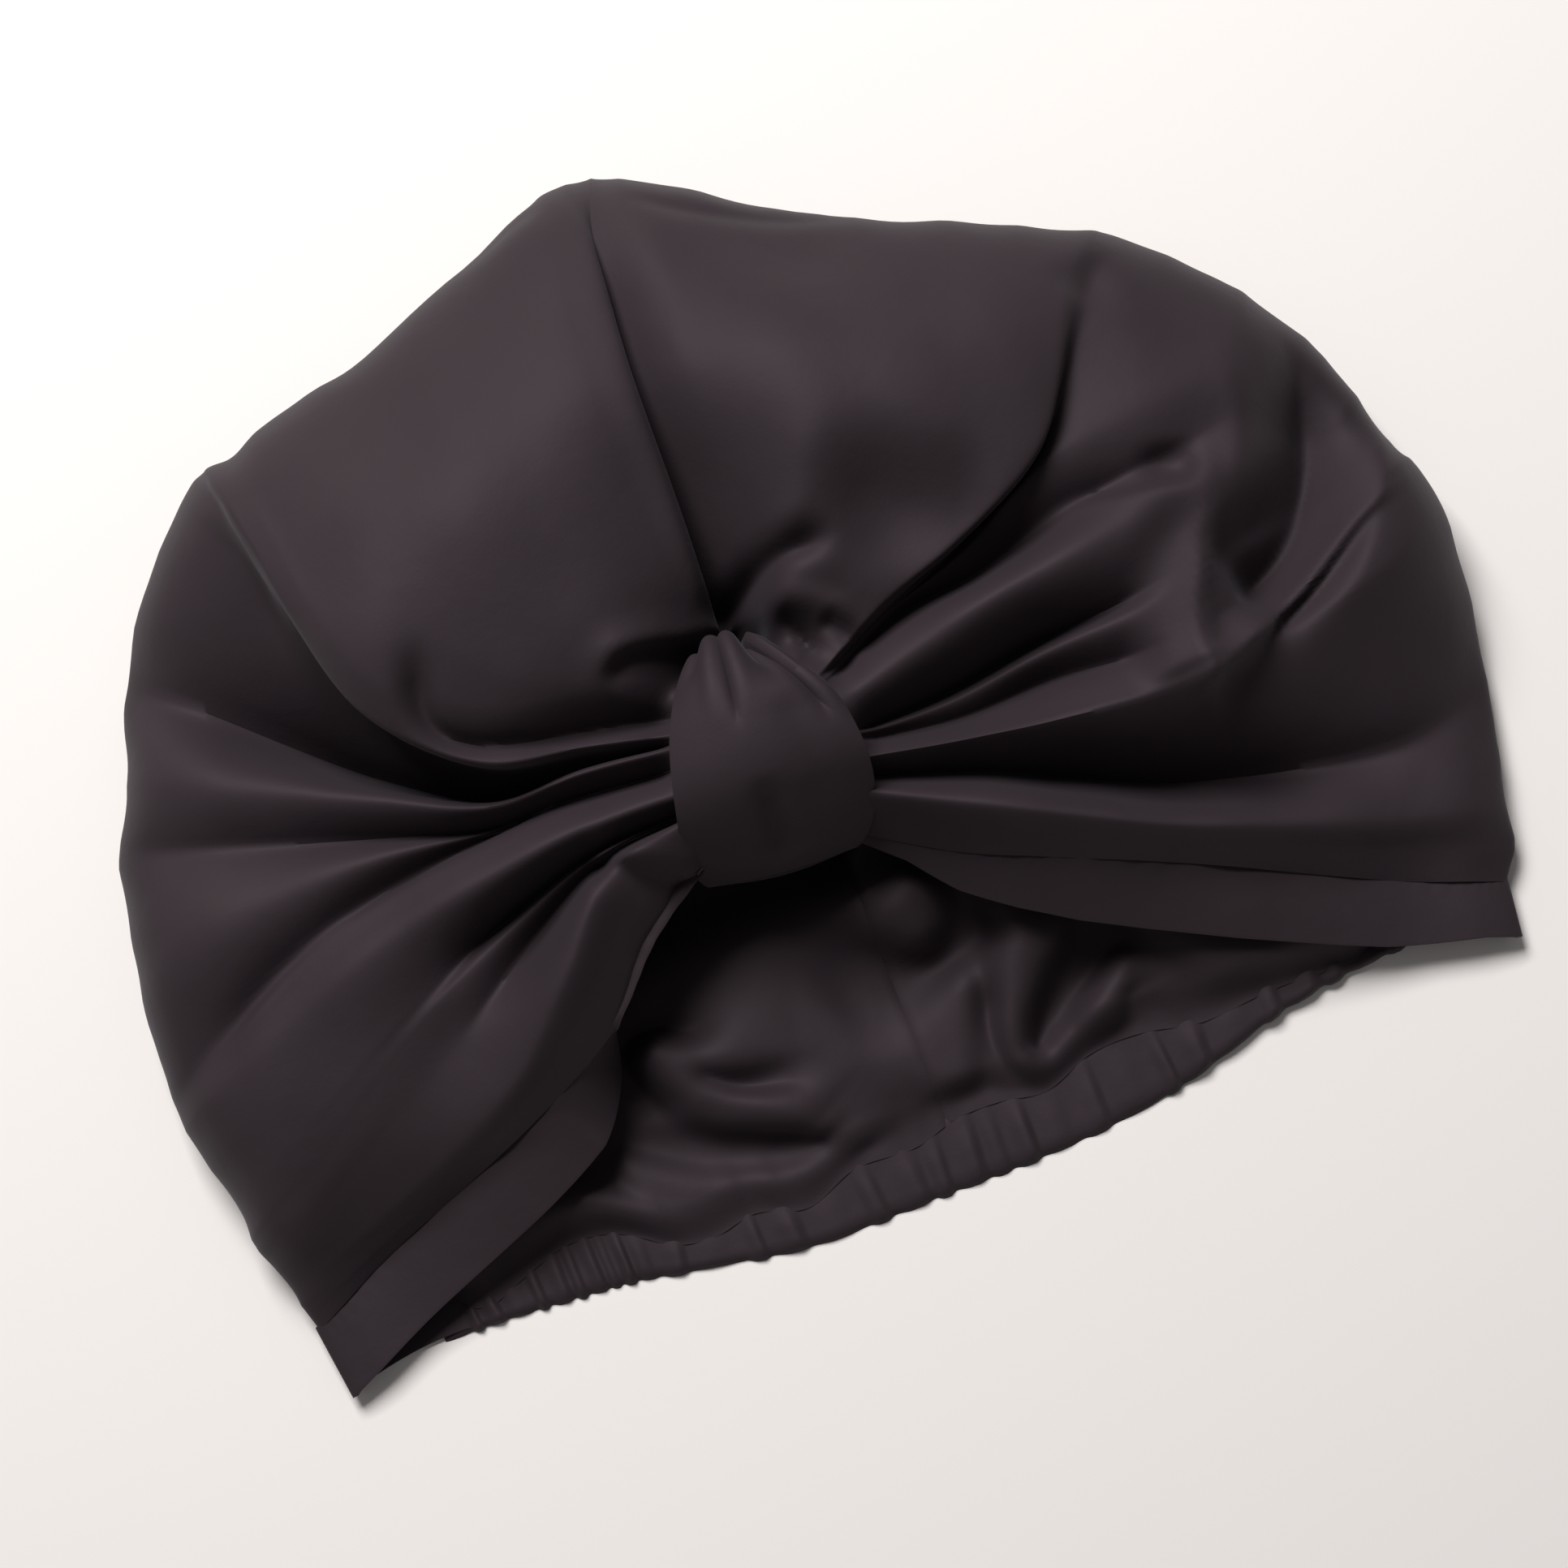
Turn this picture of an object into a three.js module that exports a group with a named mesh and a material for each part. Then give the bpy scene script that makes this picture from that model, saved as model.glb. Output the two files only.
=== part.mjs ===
// A satin turban bonnet lying on its back with its front upwards, at its real size in millimetres.
// +Z is up, +Y runs to the top of the crown and +X to the bonnet's right as it lies.
// Two crown panels meet on a centre seam. Each one runs from the gathered knot at the centre front,
// out over its side fold and back underneath to the seam at the centre back.
// The sizes below are taken from the middle of the knot. The finished group is centred on its own box.
import * as THREE from "three";

// Driving dimensions
const CLOTH = 1.4; // wall of the crown and hem
const GAP = 0.3; // clearance between pieces that are sewn together
const KNOT_RADIUS_SIDE = 13; // where the gathers end inside the knot, at its sides
const KNOT_RADIUS_TOP = 34; // where the centre seam starts, above the knot
const RING_RADII = [40, 59, 85]; // distances from the knot at which the folds below are given
const SHOULDER_SHARE = 0.86; // share of a fold's reach at which it starts to roll over the side
const BROW_SHARE = 0.955; // share of the reach half way round that roll
const EDGE_BASE = 2.2; // height of the side fold's edge where the bonnet is flattest
const EDGE_SHARE = 0.28; // part of a fold's shoulder height that its side edge keeps
const BACK_TOP_Y = 114; // the centre back seam runs from here
const BACK_BOTTOM_Y = -79; // down to here, at the elastic
const BACK_TOP_X = 8; // and leans this far to the right at its top
const HEM_TURN = 118; // turn of the hem's side corner, in degrees from the seam

const HEM_WIDTH = 14.5;
const HEM_KNOT_WIDTH = 7.5; // width that is left of it inside the knot
const HEM_DROP = 3.5; // how far the hem's free edge hangs below the crown's edge
const HEM_STEP = 0.5; // the hem lies this far below the crown's outer face
const HEM_BACK_SHARE = { left: 0.25, right: 0.14 }; // share of the back that the hem's end covers

const CASING_WIDTH = 12.6;
const CASING_THICKNESS = 3.4;
const CASING_LEFT_X = -97;
const CASING_RIGHT_X = 116;
const RUFFLE_PITCH = 8.4;
const RUFFLE_HEIGHT = 1.3;
const RUFFLE_SCALLOP = 0.9;

const RING_WALL = 2.2; // the knot's strip is doubled cloth
const RING_CENTRE = { x: -1.5, y: 2.5, z: 42 };
const RING_HALF = { y: 23.5, z: 14.5 };
const RING_TURN = -11; // degrees that the loop is turned about Z
const RING_TILT = 0.08; // rise of the loop along Y, so that its upper end stands higher
const RING_SQUARENESS = 0.8; // 1 makes the loop an ellipse, less makes it fuller
const RING_CROWN = 3; // how much higher the strip stands along its middle

// Folds of each panel, from the centre seam round to the hem.
// turn: degrees from the seam at the knot, at the three ring radii, at the shoulder and at the side edge.
// lift: height of the outer face at the knot, at the three ring radii and at the shoulder.
// reach: distance of the side edge from the knot.
// rise: how far the fold bows towards the crown half way along the back.
const SEAM = { fold: "seam", turn: [0, 0, 0.5, -0.5, -2.5, -4.5], lift: [34, 37, 46, 53, 46], reach: 135 };
const FOLDS = {
  left: [
    { fold: "seam_side", turn: [8, 8, 7, 5.5, 3, 2], lift: [37, 48, 58, 63, 50], reach: 131.5 },
    { fold: "puff_crown", turn: [20, 27, 32, 30, 26, 24], lift: [41, 56, 64, 66, 53], reach: 128 },
    { fold: "puff_outer", turn: [30, 44, 50, 45, 36, 32], lift: [44, 55, 61, 65, 53], reach: 133 },
    { fold: "puff_lip", turn: [38, 53.5, 62, 56, 42, 37], lift: [46, 50, 53, 61, 52], reach: 135 },
    { fold: "puff_edge", turn: [44, 63, 68, 62.5, 46.5, 40], lift: [48, 52, 56, 59, 50], reach: 138 },
    { fold: "puff_tuck", turn: [47, 66, 70, 64, 51, 45], lift: [43, 40, 33, 31, 38], reach: 140.5 },
    { fold: "tuck_face", turn: [49, 67, 72, 66.5, 58, 55], lift: [44, 43, 37, 33, 36], reach: 139 },
    { fold: "upper_ridge", turn: [51, 68.5, 75, 70, 64.5, 63.5], lift: [48, 47, 45, 41, 35], reach: 135 },
    { fold: "upper_valley", turn: [56, 72, 78, 75, 72, 71], lift: [42, 38, 34, 31, 28], reach: 138 },
    { fold: "side_face", turn: [60, 74, 79.5, 80, 83, 84.5], lift: [43, 40, 38, 37, 33], reach: 139.5 },
    { fold: "side_crease", turn: [63, 75.5, 81, 84.5, 92, 95], lift: [42, 40, 37, 33, 27], reach: 142 },
    { fold: "middle_ridge", turn: [68, 79, 84, 87.5, 95.5, 98], lift: [48, 47, 46, 40, 30], reach: 142.5 },
    { fold: "middle_valley", turn: [79, 84, 90.5, 96, 103, 105], lift: [39, 33, 29, 26, 24], reach: 143 },
    { fold: "lower_ridge", turn: [84, 87, 95, 100, 107, 108], lift: [41, 38, 36, 28, 22], reach: 144 },
    { fold: "lower_valley", turn: [87, 89, 99, 105, 110, 111], lift: [41, 38, 32, 25, 20], reach: 145 },
    { fold: "flap_ridge", turn: [91, 93, 106, 113.5, 114, 114], lift: [46, 46, 40, 29, 14.5], reach: 146.5 },
    { fold: "flap", turn: [103, 104, 115, 117, 116.5, 116], lift: [44, 42, 33, 25, 11], reach: 148.5 },
    { fold: "hem", turn: [114, 114.5, 122, 119.6, 118, 118], lift: [43, 36, 28, 21.5, 8.5], reach: 149.5, rise: -2 },
  ],
  right: [
    { fold: "seam_side", turn: [8, 8, 8, 8, 9, 9.5], lift: [37, 46, 56, 61, 49], reach: 132 },
    { fold: "puff_crown", turn: [17, 23, 27, 27, 25, 24], lift: [41, 54, 63, 64, 47], reach: 122.5 },
    { fold: "puff_outer", turn: [30, 40, 45, 46, 42, 40], lift: [44, 53, 57, 62, 52], reach: 128.5 },
    { fold: "puff_edge", turn: [40, 51, 57, 58, 51.5, 50], lift: [46, 51, 56, 57, 47], reach: 136 },
    { fold: "puff_tuck", turn: [44, 54, 61, 61.5, 58, 56], lift: [43, 43, 41, 44, 45], reach: 142 },
    { fold: "tuck_face", turn: [47, 56.5, 64, 67, 66, 65], lift: [44, 46, 47, 48, 44], reach: 146 },
    { fold: "upper_ridge", turn: [51, 60, 68, 73, 74.5, 73.5], lift: [47, 51, 54, 53, 42], reach: 147 },
    { fold: "upper_valley", turn: [72, 75.5, 77, 80.5, 80, 79], lift: [40, 35, 37, 47, 40], reach: 147 },
    { fold: "thin_ridge", turn: [80, 83.5, 84, 85, 83.5, 82.5], lift: [42, 40, 43, 48, 39], reach: 149 },
    { fold: "thin_valley", turn: [85, 89, 88.5, 89, 86, 84.5], lift: [41, 39, 38, 43, 36], reach: 152 },
    { fold: "lower_ridge", turn: [92, 95.5, 96, 97, 90, 87], lift: [46, 47, 47.5, 46, 34], reach: 154 },
    { fold: "lower_valley", turn: [105, 104.5, 103, 102, 101.5, 97], lift: [39, 34, 30, 26, 22], reach: 152.5 },
    { fold: "skirt_ridge", turn: [115, 114, 113, 111.5, 110.5, 108.5], lift: [44, 46, 43, 35.5, 20], reach: 153.5 },
    { fold: "skirt", turn: [122, 122, 119, 117, 115.5, 114], lift: [44, 42, 38, 30, 14], reach: 155.5 },
    { fold: "hem", turn: [130, 131, 126, 122, 119.2, 118], lift: [43, 37, 32, 24, 9], reach: 157.5, rise: 3.5 },
  ],
};

// Dents and rolls that cross the folds. Ends in plan, half width, and height, which is negative for a dent.
const DENTS = [
  { dent: "right_soft_valley", from: [121, 40], to: [112, 3], halfWidth: 13, height: -9 },
  { dent: "right_puff_dip", from: [38, 62], to: [62, 38], halfWidth: 15, height: -4 },
  { dent: "right_ridge_dimple", from: [97, 33], to: [91, 34], halfWidth: 10, height: -5 },
  { dent: "right_top_dimple", from: [94, 77], to: [90, 70], halfWidth: 10, height: -4 },
  { dent: "left_curl", from: [-24, 33], to: [-8, 36], halfWidth: 8, height: -5 },
  { dent: "right_curl", from: [7, 40], to: [26, 44], halfWidth: 8, height: -5 },
];

// Direction in which the hem hangs from the crown's edge, in degrees from -Y, at each point of the hem's own fold curve
const HEM_FALL = [36, 38, 38, 34, 18, 12, 8, 6, 3, 0, 0];

// Half width of the knot's strip round its loop, starting at the lower end and going up over the front
const STRIP_HALF_WIDTHS = [
  { at: "lower_end", left: 13, right: 11 },
  { at: "lower_front", left: 21, right: 18 },
  { at: "front", left: 18.5, right: 19 },
  { at: "upper_front", left: 15.5, right: 15 },
  { at: "upper_end", left: 9, right: 6 },
  { at: "upper_back", left: 10, right: 9 },
  { at: "back", left: 13, right: 12 },
  { at: "lower_back", left: 10, right: 10 },
];

// Wrinkles of the back panel that stand up from the floor. Ends in plan, half width and height.
const BACK_WRINKLES = [
  { wrinkle: "left_beak", from: [-44, -38], to: [-16, -48], halfWidth: 13, height: 7 },
  { wrinkle: "left_roll", from: [-56, -56], to: [-16, -64], halfWidth: 12, height: 6 },
  { wrinkle: "right_arm", from: [34, -40], to: [28, -60], halfWidth: 11, height: 9 },
  { wrinkle: "right_hook", from: [28, -60], to: [50, -52], halfWidth: 11, height: 8 },
];

const ROWS_PER_SPAN = [3, 3, 3, 3, 2, 2, 2, 2, 4, 4]; // along a fold, from the knot to the centre back
const COLUMNS_PER_FOLD = 2;
const HEM_COLUMNS = 3;
const RING_STEPS = 32;
const RING_COLUMNS = 6;
const CASING_STEPS_PER_RUFFLE = 4;
const FRONT_SPAN = 4; // last span that dents reach
const BACK_SPAN = 8; // first span that lies on the floor

const radians = THREE.MathUtils.degToRad;
const smooth = (t) => THREE.MathUtils.smoothstep(t, 0, 1);
const SIDES = { left: -1, right: 1 };
const UP = new THREE.Vector3(0, 0, 1);

// Point at a turn from the seam, a distance from the knot and a height.
function fromKnot(sign, turn, distance, height) {
  const angle = radians(turn);
  return new THREE.Vector3(sign * distance * Math.sin(angle), distance * Math.cos(angle), height);
}

// The seam is one line, so a turn towards the left on one panel is a turn away from it on the other.
function seamFor(sign) {
  return { ...SEAM, turn: SEAM.turn.map((turn) => -sign * turn) };
}

// One fold as a smooth line from the knot, over its side edge and along the floor to the centre back.
function foldCurve(sign, { turn, lift, reach, rise = 0 }) {
  const [knotTurn, , , , shoulderTurn, edgeTurn] = turn;
  const topShare = Math.max(0, Math.cos(radians(knotTurn))) ** 2;
  const knotRadius = THREE.MathUtils.lerp(KNOT_RADIUS_SIDE, KNOT_RADIUS_TOP, topShare);
  const shoulderLift = lift[4];
  const edge = EDGE_BASE + EDGE_SHARE * shoulderLift;
  const browTurn = (shoulderTurn + 2 * edgeTurn) / 3;
  const roundness = 1 - Math.SQRT1_2;
  const backY = THREE.MathUtils.lerp(BACK_TOP_Y, BACK_BOTTOM_Y, Math.max(0, edgeTurn) / HEM_TURN);
  const backSeam = new THREE.Vector3(BACK_TOP_X * THREE.MathUtils.smoothstep(backY, 0, BACK_TOP_Y), backY, 0);
  const floorStart = fromKnot(sign, edgeTurn, reach - edge, 0);
  const points = [
    fromKnot(sign, knotTurn, knotRadius, lift[0]),
    ...RING_RADII.map((radius, i) => fromKnot(sign, turn[i + 1], radius, lift[i + 1])),
    fromKnot(sign, shoulderTurn, SHOULDER_SHARE * reach, shoulderLift),
    fromKnot(sign, browTurn, BROW_SHARE * reach, THREE.MathUtils.lerp(edge, shoulderLift, 0.66)),
    fromKnot(sign, edgeTurn, reach, edge),
    fromKnot(sign, edgeTurn, reach - roundness * edge, roundness * edge),
    floorStart,
    floorStart.clone().lerp(backSeam, 0.5).add(new THREE.Vector3(0, rise, 0)),
    backSeam,
  ];
  return new THREE.CatmullRomCurve3(points, false, "centripetal");
}

// Rows along a fold as { t, span }, with t on the fold curve.
function rowsAlong(spanCounts) {
  const rows = [{ t: 0, span: 0 }];
  spanCounts.forEach((count, span) => {
    for (let i = 1; i <= count; i++) rows.push({ t: (span + i / count) / spanCounts.length, span });
  });
  return rows;
}

// Share of a stroke's height at a place in plan: 1 along its middle, exactly zero beyond its half width.
function strokeShare(x, y, { from, to, halfWidth }) {
  const along = new THREE.Vector2(to[0] - from[0], to[1] - from[1]);
  const at = new THREE.Vector2(x - from[0], y - from[1]);
  const share = THREE.MathUtils.clamp(at.dot(along) / along.lengthSq(), 0, 1);
  return smooth(1 - at.addScaledVector(along, -share).length() / halfWidth);
}

const dentHeight = (x, y) => DENTS.reduce((sum, dent) => sum + dent.height * strokeShare(x, y, dent), 0);
const wrinkleHeight = (x, y) =>
  BACK_WRINKLES.reduce((most, wrinkle) => Math.max(most, wrinkle.height * strokeShare(x, y, wrinkle)), 0);

// The outer face of one crown panel as rows of points, from the knot to the centre back.
function crownGrid(sign, folds) {
  const curves = [seamFor(sign), ...folds].map((fold) => foldCurve(sign, fold));
  const columns = (curves.length - 1) * COLUMNS_PER_FOLD;
  return rowsAlong(ROWS_PER_SPAN).map(({ t, span }) => {
    const section = new THREE.CatmullRomCurve3(curves.map((c) => c.getPoint(t)), false, "centripetal");
    const row = [];
    for (let i = 0; i <= columns; i++) {
      const point = section.getPoint(i / columns);
      if (span >= BACK_SPAN) point.z = wrinkleHeight(point.x, point.y);
      else if (span <= FRONT_SPAN) point.z += dentHeight(point.x, point.y);
      point.z = Math.max(0, point.z);
      if (i === 0 || t === 1) point.x += (sign * GAP) / 2;
      row.push(point);
    }
    return row;
  });
}

// The outer face of the hem on one side. It starts in the knot and ends on the back, beside the elastic.
function hemGrid(sign, hemFold, backShare) {
  const curve = foldCurve(sign, hemFold);
  const backStart = BACK_SPAN / ROWS_PER_SPAN.length;
  const end = backStart + backShare * (1 - backStart);
  const rows = rowsAlong(ROWS_PER_SPAN).filter(({ t }) => t < end - 0.01);
  return [...rows, { t: end }].map(({ t }) => {
    const top = curve.getPoint(t);
    const place = t * (HEM_FALL.length - 1);
    const before = Math.min(Math.floor(place), HEM_FALL.length - 2);
    const fall = radians(THREE.MathUtils.lerp(HEM_FALL[before], HEM_FALL[before + 1], place - before));
    const row = [];
    for (let i = 0; i <= HEM_COLUMNS; i++) {
      const share = i / HEM_COLUMNS;
      const clearOfKnot = smooth((Math.hypot(top.x, top.y) - 20) / 40);
      const onBack = smooth((t - backStart) / (end - backStart));
      const width = THREE.MathUtils.lerp(HEM_KNOT_WIDTH, HEM_WIDTH, clearOfKnot);
      const out = CLOTH / 2 + GAP + share * THREE.MathUtils.lerp(width, CASING_WIDTH, onBack);
      const onFront = smooth(top.z / 25);
      const height = top.z - HEM_STEP * onFront - HEM_DROP * share * onFront * clearOfKnot;
      row.push(
        new THREE.Vector3(top.x - sign * out * Math.sin(fall), top.y - out * Math.cos(fall), Math.max(0, height)),
      );
    }
    return row;
  });
}

// Turns a grid of outer points into a closed wall. facing is 1 where rows cross columns outwards, else -1.
// loops joins the last row to the first. seamed keeps the wall square to the centre seam where it meets it.
function wall(grid, thickness, facing, { loops = false, seamed = false } = {}) {
  const rows = grid.length;
  const columns = grid[0].length;
  const normals = gridNormals(grid, facing, loops, seamed);
  const outer = grid.flat();
  const inner = grid.flatMap((row, r) => row.map((p, c) => p.clone().addScaledVector(normals[r][c], -thickness)));
  const index = [];
  const quad = (a, b, c, d) => index.push(a, b, c, a, c, d);
  const at = (r, c) => (r % rows) * columns + c;
  const under = (r, c) => outer.length + at(r, c);
  const lastRow = loops ? rows : rows - 1;
  for (let r = 0; r < lastRow; r++) {
    for (let c = 0; c < columns - 1; c++) {
      quad(at(r, c), at(r + 1, c), at(r + 1, c + 1), at(r, c + 1));
      quad(under(r, c), under(r, c + 1), under(r + 1, c + 1), under(r + 1, c));
    }
    quad(at(r, 0), under(r, 0), under(r + 1, 0), at(r + 1, 0));
    quad(at(r, columns - 1), at(r + 1, columns - 1), under(r + 1, columns - 1), under(r, columns - 1));
  }
  if (!loops) {
    for (let c = 0; c < columns - 1; c++) {
      quad(at(0, c), at(0, c + 1), under(0, c + 1), under(0, c));
      quad(at(rows - 1, c), under(rows - 1, c), under(rows - 1, c + 1), at(rows - 1, c + 1));
    }
  }
  if (facing < 0) index.reverse();
  const geometry = new THREE.BufferGeometry().setFromPoints([...outer, ...inner]).setIndex(index);
  geometry.computeVertexNormals();
  return geometry;
}

// Outward normals at the points of a grid, from the lines between their neighbours.
// On a centre seam, which is the first column and the last row, they have no part across the seam.
function gridNormals(grid, facing, loops, seamed) {
  const rows = grid.length;
  const columns = grid[0].length;
  const rowAt = (r) => (loops ? (r + rows) % rows : THREE.MathUtils.clamp(r, 0, rows - 1));
  const columnAt = (c) => THREE.MathUtils.clamp(c, 0, columns - 1);
  return grid.map((row, r) =>
    row.map((_, c) => {
      const along = grid[rowAt(r + 1)][c].clone().sub(grid[rowAt(r - 1)][c]);
      const across = row[columnAt(c + 1)].clone().sub(row[columnAt(c - 1)]);
      if (seamed && r === rows - 1) along.set(facing, 0, 0);
      else if (seamed && c === 0) across.set(-facing, 0, 0);
      return along.cross(across).normalize().multiplyScalar(facing);
    }),
  );
}

// The strip wrapped round the gathers: a loop over the front, down under the hem and back up inside.
function knotGrid() {
  const middle = new THREE.Vector3(RING_CENTRE.x, RING_CENTRE.y, RING_CENTRE.z);
  const fuller = (value) => Math.sign(value) * Math.abs(value) ** RING_SQUARENESS;
  const count = STRIP_HALF_WIDTHS.length;
  const widths = new THREE.CatmullRomCurve3(
    STRIP_HALF_WIDTHS.map(({ left, right }) => new THREE.Vector3(left, right, 0)),
    true,
    "centripetal",
  );
  const grid = [];
  for (let i = 0; i < RING_STEPS; i++) {
    const share = i / RING_STEPS;
    const angle = Math.PI + share * 2 * Math.PI; // from the lower end over the front
    const { x: left, y: right } = widths.getPoint(share);
    const y = RING_HALF.y * fuller(Math.cos(angle));
    const z = RING_TILT * y - RING_HALF.z * fuller(Math.sin(angle));
    const row = [];
    for (let c = 0; c <= RING_COLUMNS; c++) {
      const across = (2 * c) / RING_COLUMNS - 1;
      const x = across < 0 ? across * left : across * right;
      const lift = -Math.sin(angle) * RING_CROWN * (1 - across * across);
      row.push(new THREE.Vector3(x, y, z + lift).applyAxisAngle(UP, radians(RING_TURN)).add(middle));
    }
    grid.push(row);
  }
  return grid;
}

// The gathered elastic casing as a row of closed sections along the back of the opening.
function casingGeometry() {
  const steps = Math.round((CASING_RIGHT_X - CASING_LEFT_X) / RUFFLE_PITCH) * CASING_STEPS_PER_RUFFLE;
  const section = casingSection();
  const edgeAt = backEdge();
  const points = [];
  for (let i = 0; i <= steps; i++) {
    const share = i / steps;
    const x = THREE.MathUtils.lerp(CASING_LEFT_X, CASING_RIGHT_X, share);
    const calm = Math.min(1, 8 * Math.min(share, 1 - share));
    const ruffle = calm * rufflePhase(i);
    const upper = edgeAt(x) - GAP;
    for (const { across, up } of section) {
      const scallop = RUFFLE_SCALLOP * ruffle * across;
      const swell = up > 0 ? RUFFLE_HEIGHT * ruffle : 0;
      points.push(new THREE.Vector3(x, upper - across * CASING_WIDTH - scallop, up * CASING_THICKNESS + swell * up));
    }
  }
  return sweptSolid(points, steps + 1, section.length);
}

// The back panel's lower edge at a place along X, from points along each hem's fold on the floor.
function backEdge() {
  const points = [];
  for (const [side, sign] of Object.entries(SIDES)) {
    const curve = foldCurve(sign, FOLDS[side].at(-1));
    const floor = BACK_SPAN / ROWS_PER_SPAN.length;
    for (let i = 0; i <= 20; i++) points.push(curve.getPoint(THREE.MathUtils.lerp(floor, 1, i / 20)));
  }
  points.sort((p, q) => p.x - q.x);
  return (x) => {
    const next = points.findIndex((p) => p.x > x);
    const [p, q] = [points[next - 1], points[next]];
    return THREE.MathUtils.mapLinear(x, p.x, q.x, p.y, q.y);
  };
}

// Height of a ruffle from -1 to 1 at a step, with every third one smaller.
function rufflePhase(step) {
  const wave = Math.cos((2 * Math.PI * step) / CASING_STEPS_PER_RUFFLE);
  const pleat = Math.floor(step / CASING_STEPS_PER_RUFFLE + 0.5);
  return wave * (pleat % 3 === 1 ? 0.55 : 1);
}

// A flat tube lying on the floor: across runs down the casing from its upper edge, up is its height.
function casingSection() {
  return [
    { across: 0.06, up: 0 },
    { across: 0.94, up: 0 },
    { across: 1, up: 0.45 },
    { across: 0.9, up: 0.95 },
    { across: 0.5, up: 1.05 },
    { across: 0.1, up: 0.9 },
    { across: 0, up: 0.4 },
  ];
}

// Joins equal closed sections into one solid with flat ends.
function sweptSolid(points, sections, size) {
  const index = [];
  for (let s = 0; s < sections - 1; s++) {
    for (let k = 0; k < size; k++) {
      const next = (k + 1) % size;
      const [a, b] = [s * size + k, s * size + next];
      index.push(a, b + size, b, a, a + size, b + size);
    }
  }
  const last = (sections - 1) * size;
  for (let k = 1; k < size - 1; k++) index.push(0, k, k + 1, last, last + k + 1, last + k);
  const geometry = new THREE.BufferGeometry().setFromPoints(points).setIndex(index);
  geometry.computeVertexNormals();
  return geometry;
}

// Materials
const satin = new THREE.MeshStandardMaterial({ color: 0x2c272a, roughness: 0.45, metalness: 0 });
const satinHem = new THREE.MeshStandardMaterial({ color: 0x2a2629, roughness: 0.5, metalness: 0 });
const satinKnot = new THREE.MeshStandardMaterial({ color: 0x2b2629, roughness: 0.48, metalness: 0 });
const satinCasing = new THREE.MeshStandardMaterial({ color: 0x29252a, roughness: 0.55, metalness: 0 });

function piece(name, geometry, material) {
  const mesh = new THREE.Mesh(geometry, material);
  mesh.name = name;
  return mesh;
}

// Assembly
const pieces = new THREE.Group();
for (const [side, sign] of Object.entries(SIDES)) {
  const folds = FOLDS[side];
  const hemFold = folds.at(-1);
  pieces.add(piece(`crown_${side}`, wall(crownGrid(sign, folds), CLOTH, -sign, { seamed: true }), satin));
  pieces.add(piece(`hem_${side}`, wall(hemGrid(sign, hemFold, HEM_BACK_SHARE[side]), CLOTH, -sign), satinHem));
}
pieces.add(piece("knot_strip", wall(knotGrid(), RING_WALL, 1, { loops: true }), satinKnot));
pieces.add(piece("elastic_casing", casingGeometry(), satinCasing));

// The origin is under the middle of the bonnet, on the surface that it lies on.
const box = new THREE.Box3().setFromObject(pieces);
const middle = box.getCenter(new THREE.Vector3());
pieces.position.set(-middle.x, -middle.y, -box.min.z);

const bonnet = new THREE.Group();
bonnet.add(pieces);

export default bonnet;
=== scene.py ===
"""A black satin turban bonnet lying on its back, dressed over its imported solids.

Sizes in the tables are millimetres, measured from the middle of the knot as the bonnet lies:
x to its right, y to the top of the crown and z up from the surface that it rests on.
"""

import math
from collections import namedtuple
from itertools import cycle

import bpy
import numpy as np
from mathutils import Matrix, Vector


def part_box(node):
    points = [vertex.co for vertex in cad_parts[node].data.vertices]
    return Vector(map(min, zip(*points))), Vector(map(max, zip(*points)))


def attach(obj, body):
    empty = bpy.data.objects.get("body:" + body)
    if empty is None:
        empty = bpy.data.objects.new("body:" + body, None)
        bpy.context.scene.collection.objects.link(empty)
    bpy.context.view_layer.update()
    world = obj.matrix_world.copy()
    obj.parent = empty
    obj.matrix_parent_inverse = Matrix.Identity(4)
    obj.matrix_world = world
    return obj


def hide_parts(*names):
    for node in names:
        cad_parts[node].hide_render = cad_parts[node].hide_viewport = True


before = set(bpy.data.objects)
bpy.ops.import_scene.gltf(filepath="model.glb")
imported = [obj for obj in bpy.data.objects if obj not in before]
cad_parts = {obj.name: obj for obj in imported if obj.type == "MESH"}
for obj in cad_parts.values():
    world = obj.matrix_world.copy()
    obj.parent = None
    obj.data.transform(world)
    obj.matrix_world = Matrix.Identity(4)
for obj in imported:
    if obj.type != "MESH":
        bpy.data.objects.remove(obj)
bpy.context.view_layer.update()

bl_info = {
    "name": "Satin turban bonnet",
    "version": (1, 0, 0),
    "blender": (4, 5, 0),
    "location": "View3D > Sidebar > Bonnet",
    "description": "Sews the crown, hem, knot and elastic casing of a satin bonnet and sets its stage",
    "category": "Object",
}

PER_METRE = 1000
# Shorter steps on a curve count as none, and closer points of a mesh, in metres, are joined.
NO_STEP, JOIN_DISTANCE = 1e-4, 1e-6

# The knot strip's lowest corner in the tables' own frame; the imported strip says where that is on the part.
STRIP_LOW_X, STRIP_LOW_Y = -26.04, -24.82
strip_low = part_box("knot_strip")[0] * PER_METRE
KNOT_PLACE = np.array([strip_low.x - STRIP_LOW_X, strip_low.y - STRIP_LOW_Y, 0.0])

SIDES = {"left": -1, "right": 1}

# Crown panels. A fold runs from the knot through three rings, a shoulder, a brow and the side edge, and then along
# the floor to the centre back. These say how far out the first five lie; shares are of the side edge's distance.
KNOT_RADIUS_SIDE, KNOT_RADIUS_TOP = 13, 27
RING_RADII = (40, 59, 85)
SHOULDER_SHARE, BROW_SHARE = 0.86, 0.955
# The side edge is a base and a share of the shoulder's height above the floor; the brow lies between the two.
EDGE_BASE, EDGE_SHARE, BROW_LIFT = 2.2, 0.28, 0.66
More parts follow.
